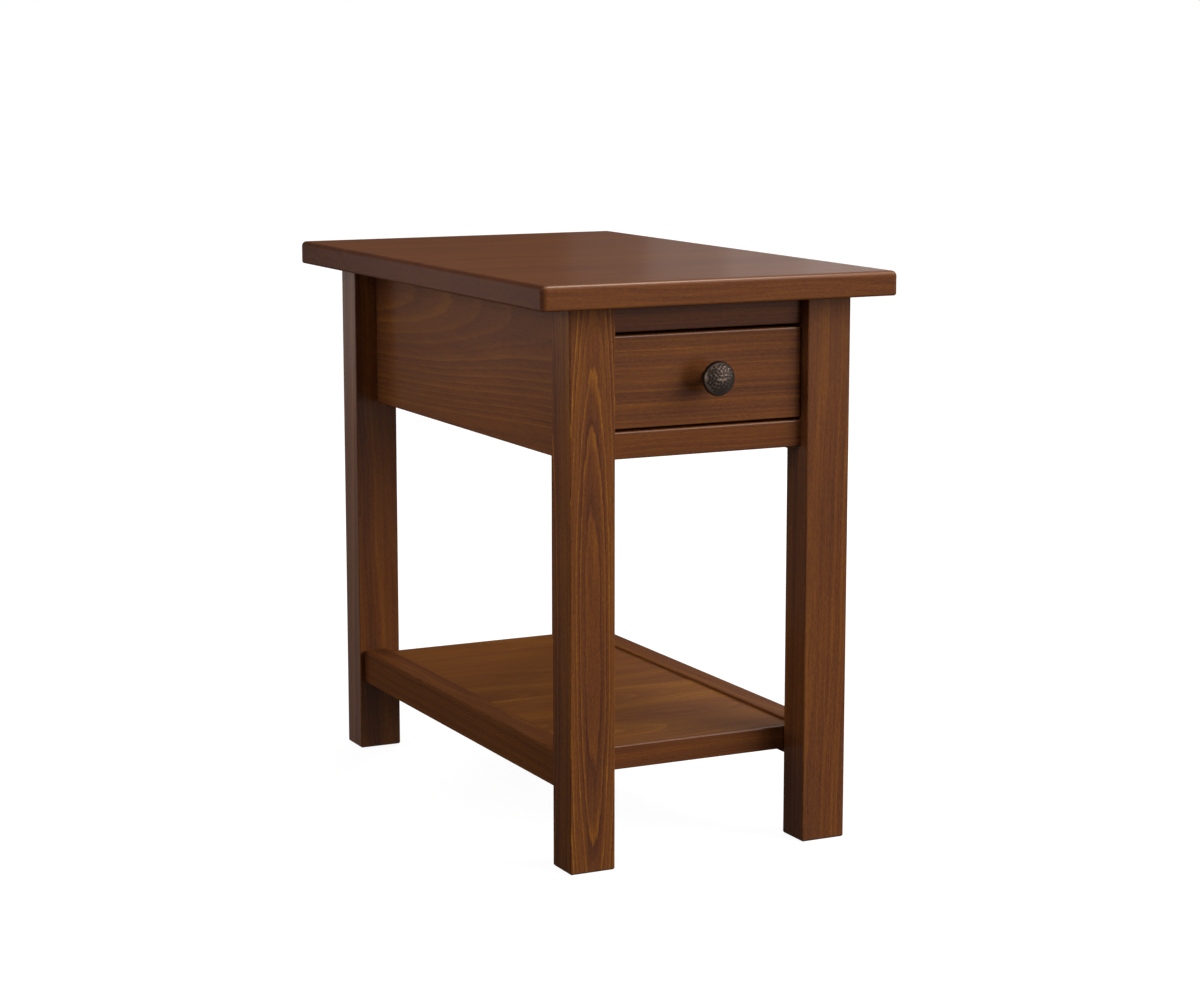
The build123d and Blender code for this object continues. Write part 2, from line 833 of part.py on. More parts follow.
def roller(y, radius):
    """A moulded nylon roller with a dished face on each side."""
    with BuildPart() as wheel:
        with BuildSketch(facing_x(roller_x - roller_width / 2, y, slide_z)):
            Circle(radius)
            Circle(roller_bore, mode=Mode.SUBTRACT)
        extrude(amount=roller_width)
        circles = wheel.edges().filter_by(GeomType.CIRCLE)
        rims = circles.filter_by(lambda circle: circle.radius > roller_recess_inner)
        chamfer(rims, roller_chamfer)
        for way in (-1, 1):
            with BuildSketch(facing_x(roller_x + way * roller_width / 2, y, slide_z, -way)):
                Circle(radius - roller_recess_rim)
                Circle(roller_recess_inner, mode=Mode.SUBTRACT)
            extrude(amount=roller_recess, mode=Mode.SUBTRACT)
    return wheel


keep_pair(roller(frame_roller_y, frame_roller_radius), "frame_roller")
keep_pair(roller(drawer_roller_y, drawer_roller_radius), "drawer_roller")


def roller_pin(steel_x, way, y):
    """A shouldered rivet from the outer face of the steel, through the roller, to its head."""
    near_side = roller_x - way * (roller_width / 2 + roller_side_play)
    far_side = roller_x + way * (roller_width / 2 + roller_side_play)
    with BuildSketch(facing_x(steel_x, y, slide_z, way)) as outline:
        Circle(pin_radius)
    extrude(outline.sketch, amount=abs(far_side - steel_x))
    with BuildSketch(facing_x(steel_x + way * slide_steel, y, slide_z, way)) as outline:
        Circle(pin_shoulder_radius)
    extrude(outline.sketch, amount=abs(near_side - steel_x) - slide_steel)
    with BuildSketch(facing_x(far_side, y, slide_z, way)) as outline:
        Circle(pin_head_radius)
    extrude(outline.sketch, amount=pin_head_height)


with BuildPart() as frame_roller_pins:
    roller_pin(leg_in_x, -1, frame_roller_y)
    mirror(about=Plane.YZ)
keep(frame_roller_pins, "frame_roller_pins")

with BuildPart() as drawer_roller_pins:
    roller_pin(box_half, 1, drawer_roller_y)
    mirror(about=Plane.YZ)
keep(drawer_roller_pins, "drawer_roller_pins")

with BuildPart() as frame_slide_fixings:
    for place in frame_slide_screws:
        flat_screw(place, frame_slide_screw_length)
    mirror(about=Plane.YZ)
keep(frame_slide_fixings, "frame_slide_screws")

with BuildPart() as drawer_slide_fixings:
    for place in drawer_slide_screws:
        flat_screw(place, drawer_slide_screw_length)
    mirror(about=Plane.YZ)
keep(drawer_slide_fixings, "drawer_slide_screws")
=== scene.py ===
from math import cos, pi, radians, sin

import bpy
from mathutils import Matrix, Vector


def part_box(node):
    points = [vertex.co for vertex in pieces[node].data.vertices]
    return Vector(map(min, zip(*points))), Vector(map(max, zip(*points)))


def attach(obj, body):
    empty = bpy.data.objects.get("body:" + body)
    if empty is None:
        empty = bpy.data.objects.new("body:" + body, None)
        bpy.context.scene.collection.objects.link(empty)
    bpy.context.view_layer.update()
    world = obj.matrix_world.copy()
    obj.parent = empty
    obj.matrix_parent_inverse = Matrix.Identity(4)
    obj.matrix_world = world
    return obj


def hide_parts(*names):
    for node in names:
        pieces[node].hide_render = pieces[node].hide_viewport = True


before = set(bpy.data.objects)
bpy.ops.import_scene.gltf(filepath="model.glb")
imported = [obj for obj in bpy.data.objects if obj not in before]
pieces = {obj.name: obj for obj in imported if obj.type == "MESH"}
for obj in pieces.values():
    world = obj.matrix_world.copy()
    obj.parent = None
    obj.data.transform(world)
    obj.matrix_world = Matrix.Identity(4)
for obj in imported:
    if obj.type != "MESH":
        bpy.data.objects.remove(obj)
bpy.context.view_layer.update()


# ----------------------------------------------------------------------------------------------------
# Studio: a white floor under a white sky. The key light and a softbox stand to the right of the drawer
# front, two weak softboxes to its left, and two above it that draw the edges. A softbox and a weak lamp
# light the back, and a scrim behind on the right, brighter strip by strip, veils the top.
# ----------------------------------------------------------------------------------------------------

def add_node(tree, kind, settings=None, feeds=None):
    """Puts one node in a tree. A feed is a number, a colour or the output of another node."""
    made = tree.nodes.new(kind)
    for name, value in (settings or {}).items():
        setattr(made, name, value)
    for name, value in (feeds or {}).items():
        if isinstance(value, bpy.types.NodeSocket):
            tree.links.new(value, made.inputs[name])
        else:
            made.inputs[name].default_value = value
    return made


def calc(tree, operation, *values):
    return add_node(tree, "ShaderNodeMath", {"operation": operation}, dict(enumerate(values))).outputs[0]


def seen_directly(tree):
    """1 for what the camera sees, straight or in a reflection, and 0 for the light that it gives."""
    path = add_node(tree, "ShaderNodeLightPath").outputs
    mirrored = calc(tree, "MAXIMUM", path["Is Glossy Ray"], path["Is Transmission Ray"])
    return calc(tree, "MAXIMUM", path["Is Camera Ray"], mirrored)


sky_light = 0.15
scrim_strips = 5
floor_half = 40
floor_z = -0.0003
floor_glow = 0.93
floor_shade = 0.22
floor_bounce = 0.1
camera_lens = 84.02
camera_pitch = 9.439
camera_heading = 26.354

world = bpy.data.worlds.new("sky")
world.use_nodes = True
world.node_tree.nodes.clear()
bpy.context.scene.world = world
sky_strength = add_node(world.node_tree, "ShaderNodeMapRange", None, {
    "Value": seen_directly(world.node_tree), "To Min": sky_light, "To Max": 1.0})
sky = add_node(world.node_tree, "ShaderNodeBackground", None, {
    "Color": (1, 1, 1, 1), "Strength": sky_strength.outputs[0]})
add_node(world.node_tree, "ShaderNodeOutputWorld", None, {"Surface": sky.outputs[0]})


def hang_lamp(name, strength, right_of_front, height, softness):
    """A distant soft lamp: its angles are to the right of the drawer's axis and above the floor."""
    lamp = bpy.data.lights.new(name, "SUN")
    lamp.energy = strength
    lamp.angle = radians(softness)
    holder = bpy.data.objects.new(name, lamp)
    holder.rotation_euler = (radians(90 - height), 0, radians(right_of_front))
    bpy.context.scene.collection.objects.link(holder)


def stand_softbox(name, watts, place, aim, size, height=None, spread=180):
    """A softbox near the table, square if no height is given. A grid can narrow its light's spread."""
    lamp = bpy.data.lights.new(name, "AREA")
    lamp.energy = watts
    lamp.shape = "RECTANGLE"
    lamp.size = size
    lamp.size_y = height or size
    lamp.spread = radians(spread)
    holder = bpy.data.objects.new(name, lamp)
    holder.location = place
    holder.rotation_euler = (Vector(place) - Vector(aim)).to_track_quat("Z", "Y").to_euler()
    bpy.context.scene.collection.objects.link(holder)


hang_lamp("key_light", strength=2.95, right_of_front=50, height=22, softness=44)
hang_lamp("back_light", strength=0.35, right_of_front=146, height=30, softness=30)
stand_softbox("front_softbox", watts=10, place=(1.0, -2.3, 0.55), aim=(0, -0.3, 0.5), size=0.8)
stand_softbox("left_softbox", watts=2.3, place=(-1.1, 0.45, 1.0), aim=(-0.2, 0, 0.62), size=0.8)
stand_softbox("gridded_softbox", watts=0.6, place=(-1.4, -0.4, 0.8), aim=(-0.15, -0.1, 0.5), size=0.6,
              spread=40)
stand_softbox("back_left_softbox", watts=14, place=(-1.5, 2.3, 0.6), aim=(-0.2, 0.2, 0.4), size=0.9)
stand_softbox("top_softbox", watts=6.2, place=(0.6, -0.5, 2.0), aim=(0, 0, 0.6), size=0.5)
stand_softbox("high_front_softbox", watts=1.8, place=(-0.1, -1.15, 1.5), aim=(0, -0.34, 0.5), size=0.35)

for strip in range(scrim_strips):
    stand_softbox(f"scrim_strip_{strip + 1}", watts=0.7 + 1.5 * strip,
                  place=(1.19 + 0.139 * strip, 2.3 - 0.085 * strip, 0.95), aim=(0.1, 0, 0.6), size=0.17,
                  height=0.9)

floor_mesh = bpy.data.meshes.new("studio_floor")
floor_mesh.from_pydata(
    [(-floor_half, -floor_half, floor_z), (floor_half, -floor_half, floor_z),
     (floor_half, floor_half, floor_z), (-floor_half, floor_half, floor_z)], [], [(0, 1, 2, 3)])
floor = bpy.data.objects.new("studio_floor", floor_mesh)
bpy.context.scene.collection.objects.link(floor)

paint = bpy.data.materials.new("studio_white")
paint.use_nodes = True
paint.node_tree.nodes.clear()
glow = add_node(paint.node_tree, "ShaderNodeEmission", None, {"Color": (1, 1, 1, 1), "Strength": floor_glow})
shadow_catcher = add_node(paint.node_tree, "ShaderNodeBsdfDiffuse", None, {
    "Color": (floor_shade, floor_shade, floor_shade, 1)})
bounce = add_node(paint.node_tree, "ShaderNodeBsdfDiffuse", None, {
    "Color": (floor_bounce, floor_bounce, floor_bounce, 1)})
white = add_node(paint.node_tree, "ShaderNodeAddShader", None, {
    0: glow.outputs[0], 1: shadow_catcher.outputs[0]})
floor_skin = add_node(paint.node_tree, "ShaderNodeMixShader", None, {
    0: seen_directly(paint.node_tree), 1: bounce.outputs[0], 2: white.outputs[0]})

# From below the floor is clear, so that the underside of the table can be looked at
clear = add_node(paint.node_tree, "ShaderNodeBsdfTransparent")
one_sided = add_node(paint.node_tree, "ShaderNodeMixShader", None, {
    0: add_node(paint.node_tree, "ShaderNodeNewGeometry").outputs["Backfacing"],
    1: floor_skin.outputs[0], 2: clear.outputs[0]})
add_node(paint.node_tree, "ShaderNodeOutputMaterial", None, {"Surface": one_sided.outputs[0]})
floor_mesh.materials.append(paint)

camera_data = bpy.data.cameras.new("camera")
camera_data.sensor_width = 36
camera_data.lens = camera_lens
camera = bpy.data.objects.new("camera", camera_data)
camera.location = (-1.3674, -2.8114, 0.8525)
camera.rotation_euler = (radians(90 - camera_pitch), 0, radians(-camera_heading))
bpy.context.scene.collection.objects.link(camera)
bpy.context.scene.camera = camera
bpy.context.scene.view_settings.view_transform = "Standard"


# ----------------------------------------------------------------------------------------------------
# Legs: sawn square from softwood, stained red-brown and lacquered satin. The front of the left one is
# flat-sawn, with flames up its middle, and the others are straighter in the grain.
# ----------------------------------------------------------------------------------------------------

def srgb(red, green, blue):
    """A colour given as 0 to 255, as the shader wants it."""
    def linear(value):
        value /= 255
        return value / 12.92 if value <= 0.04045 else ((value + 0.055) / 1.055) ** 2.4
    return (linear(red), linear(green), linear(blue), 1)


def ramp(tree, value, low, high, out_low=0.0, out_high=1.0):
    """Goes smoothly from one value to another while the input goes from low to high."""
    return add_node(tree, "ShaderNodeMapRange", {"interpolation_type": "SMOOTHSTEP"}, {
        "Value": value, "From Min": low, "From Max": high,
        "To Min": out_low, "To Max": out_high}).outputs[0]


def stretched_noise(tree, place, across, along, detail=2.0, seed=0.0):
    """Noise drawn out along the log: its grains per metre across the log and along it."""
    scaled = add_node(tree, "ShaderNodeVectorMath", {"operation": "MULTIPLY"}, {
        0: place, 1: (across, across, along)})
    noise = add_node(tree, "ShaderNodeTexNoise", {"noise_dimensions": "4D"}, {
        "Vector": scaled.outputs[0], "W": seed, "Scale": 1.0, "Detail": detail})
    return noise.outputs[0]


def mix_colours(tree, share, first, second):
    made = add_node(tree, "ShaderNodeMix", {"data_type": "RGBA"}, {
        0: share, 6: first, 7: second})
    return made.outputs[2]


def log_group():
    """Wood as it lies in a log that stands on local Z: rings round the heart, streaks and pores."""
    tree = bpy.data.node_groups.new("log", "ShaderNodeTree")
    for name, kind, usual in (
        ("Place", "NodeSocketVector", (0, 0, 0)),
        ("Ring", "NodeSocketFloat", 0.005),
        ("Lines", "NodeSocketFloat", 0.4),
        ("Sway", "NodeSocketFloat", 0.0005),
        ("Sway length", "NodeSocketFloat", 0.2),
        ("Figure", "NodeSocketFloat", 1.0),
        ("Seed", "NodeSocketFloat", 0.0),
    ):
        tree.interface.new_socket(name, in_out="INPUT", socket_type=kind).default_value = usual
    tree.interface.new_socket("Open", in_out="OUTPUT", socket_type="NodeSocketFloat")
    tree.interface.new_socket("Height", in_out="OUTPUT", socket_type="NodeSocketFloat")
    given = tree.nodes.new("NodeGroupInput").outputs
    place = given["Place"]
    seed = given["Seed"]
    parts = add_node(tree, "ShaderNodeSeparateXYZ", None, {0: place}).outputs

    def swing(value):
        return calc(tree, "SUBTRACT", value, 0.5)

    # How far a point lies from the heart, with the trunk's sway and its uneven growth
    squares = calc(tree, "ADD", calc(tree, "POWER", parts[0], 2.0), calc(tree, "POWER", parts[1], 2.0))
    radius = calc(tree, "SQRT", squares)
    turns = calc(tree, "DIVIDE", calc(tree, "MULTIPLY", parts[2], 2 * pi), given["Sway length"])
    radius = calc(tree, "MULTIPLY_ADD", calc(tree, "SINE", turns), given["Sway"], radius)
    for across, along, detail, weight in ((9, 1.6, 1.0, 0.007), (70, 8, 2.0, 0.0014), (420, 45, 1.0, 0.0006)):
        uneven = swing(stretched_noise(tree, place, across, along, detail, seed))
        radius = calc(tree, "MULTIPLY_ADD", uneven, weight, radius)

    # Inwards from each year's line the wood starts open and closes into a denser band, and some years
    # are stronger
    years = calc(tree, "DIVIDE", radius, given["Ring"])
    season = calc(tree, "SUBTRACT", 1.0, calc(tree, "FRACT", years))
    year_and_seed = add_node(tree, "ShaderNodeCombineXYZ", None, {0: calc(tree, "FLOOR", years), 1: seed})
    chance = add_node(tree, "ShaderNodeTexWhiteNoise", {"noise_dimensions": "2D"}, {
        "Vector": year_and_seed.outputs[0]}).outputs["Value"]
    strong = calc(tree, "MULTIPLY_ADD", calc(tree, "POWER", chance, 2.0), 0.8, 0.2)
    strong = calc(tree, "MULTIPLY", strong, given["Lines"])
    opening = calc(tree, "MULTIPLY", ramp(tree, season, 0.0, 0.08), ramp(tree, season, 0.08, 0.5, 1.0, 0.0))
    closing = ramp(tree, season, 0.6, 1.0)
    zones = add_node(tree, "ShaderNodeTexNoise", {"noise_dimensions": "1D"}, {
        "W": calc(tree, "MULTIPLY_ADD", radius, 110.0, seed), "Scale": 1.0, "Detail": 1.0}).outputs[0]

    streaks = stretched_noise(tree, place, 210, 3, 3.0, seed)
    threads = stretched_noise(tree, place, 900, 14, 2.0, seed)
    fibres = stretched_noise(tree, place, 1300, 260, 2.0, seed)
    pores = ramp(tree, stretched_noise(tree, place, 1500, 110, 1.0, calc(tree, "ADD", seed, 7.0)), 0.56, 0.74)
    blotches = stretched_noise(tree, place, 20, 7, 2.0, seed)

    # How far the wood has opened to a stain: below 0 it is dense, above 0 it is open
    height = calc(tree, "MULTIPLY_ADD", pores, -0.7, calc(tree, "MULTIPLY", closing, -0.2))
    tone = calc(tree, "MULTIPLY", swing(zones), 0.5)
    for value, weight in (
        (calc(tree, "MULTIPLY", opening, strong), 0.55),
        (calc(tree, "MULTIPLY", closing, strong), -0.3),
        (swing(streaks), 0.4),
        (swing(threads), 0.45),
        (swing(fibres), 0.7),
        (swing(blotches), 0.3),
        (pores, -0.14),
    ):
        tone = calc(tree, "MULTIPLY_ADD", value, weight, tone)
    out = tree.nodes.new("NodeGroupOutput")
    tree.links.new(calc(tree, "MULTIPLY", tone, given["Figure"]), out.inputs["Open"])
    tree.links.new(height, out.inputs["Height"])
    return tree


def new_material(name):
    """An empty node material, its tree and the place on the object in metres."""
    material = bpy.data.materials.new(name)
    material.use_nodes = True
    material.node_tree.nodes.clear()
    return material, material.node_tree, add_node(material.node_tree, "ShaderNodeTexCoord").outputs["Object"]


def colour_by(tree, value, shades):
    """Runs a value through a row of colours: each is given with where it stands, from 0 to 1."""
    made = add_node(tree, "ShaderNodeValToRGB", None, {0: value})
    row = made.color_ramp.elements
    row[0].position, row[0].color = shades[0][0], srgb(*shades[0][1])
    row[1].position, row[1].color = shades[-1][0], srgb(*shades[-1][1])
    for position, colour in shades[1:-1]:
        row.new(position).color = srgb(*colour)
    return made.outputs[0]


def at_front_edge(tree, place, low, high, reach):
    """1 along the upper front edge of a board and 0 beyond its reach."""
    split = add_node(tree, "ShaderNodeSeparateXYZ", None, {0: place}).outputs
    depth = calc(tree, "MAXIMUM", calc(tree, "SUBTRACT", split["Y"], low.y),
                 calc(tree, "SUBTRACT", high.z, split["Z"]))
    return ramp(tree, depth, reach * 0.3, reach, 1.0, 0.0)


def at_ends(tree, place, low, high, grain, reach):
    """1 on the two ends of a board, where the end grain shows, and 0 beyond the reach from them."""
    axis = "xyz".index(grain)
    along = add_node(tree, "ShaderNodeSeparateXYZ", None, {0: place}).outputs[axis]
    from_middle = calc(tree, "ABSOLUTE", calc(tree, "SUBTRACT", along, (low[axis] + high[axis]) / 2))
    half = (high[axis] - low[axis]) / 2
    return ramp(tree, from_middle, half - reach, half - reach / 4)


def put_on(node, material):
    pieces[node].data.materials.clear()
    pieces[node].data.materials.append(material)


def finish_wood(material, colour, height, relief, film):
    """Closes a wood material with a film of satin lacquer."""
    tree = material.node_tree
    bump = add_node(tree, "ShaderNodeBump", None, {"Strength": 0.5, "Distance": relief, "Height": height})
    wood = add_node(tree, "ShaderNodeBsdfPrincipled", None, {
        "Base Color": colour, "Roughness": 0.5, "Specular IOR Level": 0.0, "Coat Weight": film,
        "Coat Roughness": 0.24, "Normal": bump.outputs[0]})
    add_node(tree, "ShaderNodeOutputMaterial", None, {"Surface": wood.outputs[0]})


log = log_group()
ALONG_GRAIN = {"x": (0, 90, 0), "y": (90, 0, 0), "z": (0, 0, 0)}
STAIN = (
    (0.0, (50, 28, 22)),
    (0.3, (80, 46, 31)),
    (0.5, (100, 58, 32)),
    (0.7, (120, 72, 31)),
    (1.0, (158, 104, 35)),
)
# A light stain colour for the upper front edges: partly rubbed wear, partly a painted highlight
WORN_STAIN_AND_HIGHLIGHT = (150, 98, 58)


def stain_wood(material, tree, place, wood, low, high, grain, tone, film, edge_film_and_highlight, relief,
               edge_reach=0.0024):
    """Stains and lacquers wood whose figure is given. End grain drinks more stain and turns darker. Hands rub
    and polish the upper front edge, and its colour there is painted lighter, partly as worn stain and partly
    as a painted highlight along the arris."""
    edge = calc(tree, "MULTIPLY", at_front_edge(tree, place, low, high, edge_reach), edge_film_and_highlight)
    ends = at_ends(tree, place, low, high, grain, edge_reach)
    open_wood = calc(tree, "MULTIPLY_ADD", ends, -0.18, wood.outputs["Open"])
    colour = colour_by(tree, calc(tree, "ADD", open_wood, tone), STAIN)
    # Painted highlight: the upper front edge is mixed towards the light stain colour, partly as wear and
    # partly as a painted highlight
    colour = mix_colours(tree, calc(tree, "MULTIPLY", edge, 0.6), colour, srgb(*WORN_STAIN_AND_HIGHLIGHT))
    finish_wood(material, colour, wood.outputs["Height"], relief, calc(tree, "ADD", edge, film))


def stained_board(node, grain, heart, tilt=(0, 0, 0), ring=0.005, lines=0.35, sway=0.0005, sway_length=0.2,
                  figure=1.0, tone=0.5, seed=0.0, film=0.03, edge_film_and_highlight=0.0):
    """Stains one board: its heart is the tree's axis, given from the board's middle in metres."""
    low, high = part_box(node)
    material, tree, place = new_material("stained_" + node)
    in_log = add_node(tree, "ShaderNodeMapping", {"vector_type": "TEXTURE"}, {
        "Vector": place, "Location": (low + high) / 2 + Vector(heart),
        "Rotation": [radians(turn + lean) for turn, lean in zip(ALONG_GRAIN[grain], tilt)]})
    wood = add_node(tree, "ShaderNodeGroup", {"node_tree": log}, {
        "Place": in_log.outputs[0], "Ring": ring, "Lines": lines, "Sway": sway,
        "Sway length": sway_length, "Figure": figure, "Seed": seed})
    stain_wood(material, tree, place, wood, low, high, grain, tone, film, edge_film_and_highlight, relief=0.0002)
    put_on(node, material)


stained_board("left_front_leg", "z", heart=(0, 0.023, 0.37), ring=0.0017, lines=0.9, sway=0.0085,
              sway_length=1.6, figure=0.74, tone=0.475, seed=3.1)
stained_board("right_front_leg", "z", heart=(-0.05, 0.07, 0), tilt=(0.6, 0.4, 0), ring=0.003,
              sway_length=0.3, figure=0.7, tone=0.48, seed=8.7, film=0.06)
stained_board("left_back_leg", "z", heart=(0.03, 0.05, 0), tilt=(0.8, -0.4, 0), ring=0.003,
              figure=0.6, tone=0.49, seed=5.2, film=0.14)
stained_board("right_back_leg", "z", heart=(0.05, -0.06, 0), tilt=(-0.8, 0.4, 0), ring=0.003,
              sway_length=0.3, figure=0.7, tone=0.48, seed=1.4)


# ----------------------------------------------------------------------------------------------------
# Aprons and drawer rails: boards of one thickness, tenoned between the legs. The aprons are flat-sawn
# and show wide arcs.
# ----------------------------------------------------------------------------------------------------

for side, seed in (("left", 2.6), ("right", 6.3)):
    out = -1 if side == "left" else 1
    stained_board(side + "_side_apron", "y", heart=(-out * 0.108, 0, 0.058), tilt=(0, 0, -out * 2.6),
                  ring=0.0045, lines=0.5, sway=0.001, sway_length=0.5, figure=0.45, tone=0.485, seed=seed)
stained_board("back_apron", "x", heart=(0, -0.09, 0.02), tilt=(2.6, 0, 0), ring=0.0045, lines=0.5, sway=0.001,
              sway_length=0.4, figure=0.5, tone=0.49, seed=9.2)
# The top rail's low tone paints it darker, as painted shade under the overhang of the top
stained_board("top_rail", "x", heart=(0, 0.06, 0.07), ring=0.003, figure=0.5, tone=0.33, seed=4.4, film=0.05)
stained_board("bottom_rail", "x", heart=(0, 0.07, -0.05), ring=0.003, figure=0.5, tone=0.5, seed=7.5,
              edge_film_and_highlight=0.5)


# ----------------------------------------------------------------------------------------------------
# Drawer front: one board, straight in the grain, with fine stripes from side to side.
# ----------------------------------------------------------------------------------------------------

stained_board("drawer_front", "x", heart=(0, 0.03, 0.16), tilt=(0, 0.3, 0), ring=0.0045, lines=0.4,
              figure=0.62, tone=0.48, seed=6.6, film=0.045, edge_film_and_highlight=0.5)


# ----------------------------------------------------------------------------------------------------
# Knob: cast in one piece, with a waisted neck and a rounded rim. Its dome is hammered all over, and the
# dark bronze finish is rubbed brighter on the ridges between the hammer marks. Towards the upper left the
# ridges are painted brighter still, as a painted highlight.
# ----------------------------------------------------------------------------------------------------

import bmesh

knob_low, knob_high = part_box("knob")
knob_radius = (knob_high.x - knob_low.x) / 2
knob_length = knob_high.y - knob_low.y
knob_axis_z = (knob_low.z + knob_high.z) / 2
foot_radius, foot_length = 0.0065, 0.002
neck_radius, neck_at = 0.0055, 0.009
rim_at, rim_round = 0.021, 0.0015
dome_at = rim_at + rim_round + 0.001


def curve_points(start, start_way, end, end_way, steps):
    """Points on a smooth curve between two points, without its first one."""
    found = []
    for step in range(1, steps + 1):
        t = step / steps
        a, b, c, d = 2 * t**3 - 3 * t**2 + 1, t**3 - 2 * t**2 + t, 3 * t**2 - 2 * t**3, t**3 - t**2
        found.append(tuple(a * start[i] + b * start_way[i] + c * end[i] + d * end_way[i] for i in (0, 1)))
    return found


def knob_profile():
    """From the foot on the drawer front to the top of the dome: distance along the axis, then radius."""
    rim_foot = knob_radius - rim_round
    points = [(0, foot_radius), (foot_length * 0.8, foot_radius), (foot_length, foot_radius * 0.96)]
    points += curve_points(points[-1], (0, -0.002), (neck_at, neck_radius), (0.008, 0.001), 10)
    points += curve_points(points[-1], (0.010, 0.001), (rim_at, rim_foot), (0.007, 0.014), 18)
    for step in range(1, 7):
        turn = pi / 2 * step / 6
        points.append((rim_at + rim_round * (1 - cos(turn)), rim_foot + rim_round * sin(turn)))
    points.append((dome_at, knob_radius))
    steps = 64
    for step in range(1, steps):
        turn = pi / 2 * step / steps
        points.append((dome_at + (knob_length - dome_at) * sin(turn), knob_radius * cos(turn)))
    return points


def turn_knob(points, around=168):
    """Turns the profile round the knob's axis into a closed mesh."""
    built = bmesh.new()
    rows = []
    for along, radius in points:
        row = []
        for n in range(around):
            turn = 2 * pi * n / around
            row.append(built.verts.new((
                radius * cos(turn), knob_high.y - along, knob_axis_z + radius * sin(turn))))
        rows.append(row)
    tip = built.verts.new((0, knob_low.y, knob_axis_z))
    for near, far in zip(rows, rows[1:]):
        for n in range(around):
            built.faces.new((near[n], near[(n + 1) % around], far[(n + 1) % around], far[n]))
    for n in range(around):
        built.faces.new((rows[-1][n], rows[-1][(n + 1) % around], tip))
    built.faces.new(rows[0][::-1])
    bmesh.ops.recalc_face_normals(built, faces=built.faces)
    mesh = bpy.data.meshes.new("hammered_knob")
    built.to_mesh(mesh)
    built.free()
    mesh.shade_smooth()
    return mesh


def hammer_tree(finish):
    """Scatters hammer marks over the dome, sinks a cup at each, and keeps its depth for the finish."""
    tree = bpy.data.node_groups.new("hammer", "GeometryNodeTree")
    tree.interface.new_socket("Geometry", in_out="INPUT", socket_type="NodeSocketGeometry")
    for name, usual in (("Spacing", 0.003), ("Mark radius", 0.002), ("Depth", 0.0004), ("Dome starts", 0.0),
                        ("Dome radius", 0.016), ("Axis height", 0.0)):
        tree.interface.new_socket(name, in_out="INPUT", socket_type="NodeSocketFloat").default_value = usual
    tree.interface.new_socket("Seed", in_out="INPUT", socket_type="NodeSocketInt").default_value = 1
    tree.interface.new_socket("Geometry", in_out="OUTPUT", socket_type="NodeSocketGeometry")
    given = tree.nodes.new("NodeGroupInput").outputs
    x, y, z = add_node(tree, "ShaderNodeSeparateXYZ", None, {
        0: add_node(tree, "GeometryNodeInputPosition").outputs[0]}).outputs
    out = calc(tree, "SQRT", calc(tree, "ADD", calc(tree, "POWER", x, 2.0), calc(
        tree, "POWER", calc(tree, "SUBTRACT", z, given["Axis height"]), 2.0)))
    rim_share = calc(tree, "DIVIDE", out, given["Dome radius"])
    on_dome = calc(tree, "MULTIPLY", calc(tree, "LESS_THAN", y, given["Dome starts"]),
                   ramp(tree, rim_share, 0.97, 1.06, 1.0, 0.0))
    inside = calc(tree, "MULTIPLY", calc(tree, "LESS_THAN", y, given["Dome starts"]),
                  calc(tree, "LESS_THAN", rim_share, 1.0))
    blows = add_node(tree, "GeometryNodeDistributePointsOnFaces", {"distribute_method": "POISSON"}, {
        "Mesh": given["Geometry"], "Selection": inside, "Distance Min": given["Spacing"], "Density Max": 4e6,
        "Seed": given["Seed"]})
    nearest = add_node(tree, "GeometryNodeProximity", {"target_element": "POINTS"}, {0: blows.outputs[0]})
    share = calc(tree, "DIVIDE", nearest.outputs["Distance"], given["Mark radius"])
    cup = calc(tree, "MAXIMUM", calc(tree, "SUBTRACT", 1.0, calc(tree, "POWER", share, 2.0)), 0.0)
    mark = calc(tree, "MULTIPLY", cup, on_dome)
    push = add_node(tree, "ShaderNodeVectorMath", {"operation": "SCALE"}, {
        0: add_node(tree, "GeometryNodeInputNormal").outputs[0],
        "Scale": calc(tree, "MULTIPLY", mark, calc(tree, "MULTIPLY", given["Depth"], -1.0))})
    kept = add_node(tree, "GeometryNodeStoreNamedAttribute", {"data_type": "FLOAT", "domain": "POINT"}, {
        "Geometry": given["Geometry"], "Name": "hammer_mark", "Value": mark})
    sunk = add_node(tree, "GeometryNodeSetPosition", None, {
        "Geometry": kept.outputs[0], "Offset": push.outputs[0]})
    real = add_node(tree, "GeometryNodeRealizeInstances", None, {0: sunk.outputs[0]})
    coated = add_node(tree, "GeometryNodeSetMaterial", None, {
        "Geometry": real.outputs[0], "Material": finish})
    end = tree.nodes.new("NodeGroupOutput")
    tree.links.new(coated.outputs[0], end.inputs[0])
    return tree


def run_tree(piece, tree, inputs):
    """Puts a tree on a piece, sets its inputs, and leaves the piece with the plain mesh that results."""
    modifier = piece.modifiers.new(tree.name, "NODES")
    modifier.node_group = tree
    for item in tree.interface.items_tree:
        if item.item_type == "SOCKET" and item.in_out == "INPUT" and item.name in inputs:
            modifier[item.identifier] = inputs[item.name]
    bpy.context.view_layer.update()
    evaluated = piece.evaluated_get(bpy.context.evaluated_depsgraph_get())
    mesh = bpy.data.meshes.new_from_object(evaluated)
    piece.modifiers.clear()
    piece.data = mesh
    mesh.name = piece.name


def even_noise(tree, place, scale, detail):
    return add_node(tree, "ShaderNodeTexNoise", None, {
        "Vector": place, "Scale": scale, "Detail": detail}).outputs[0]


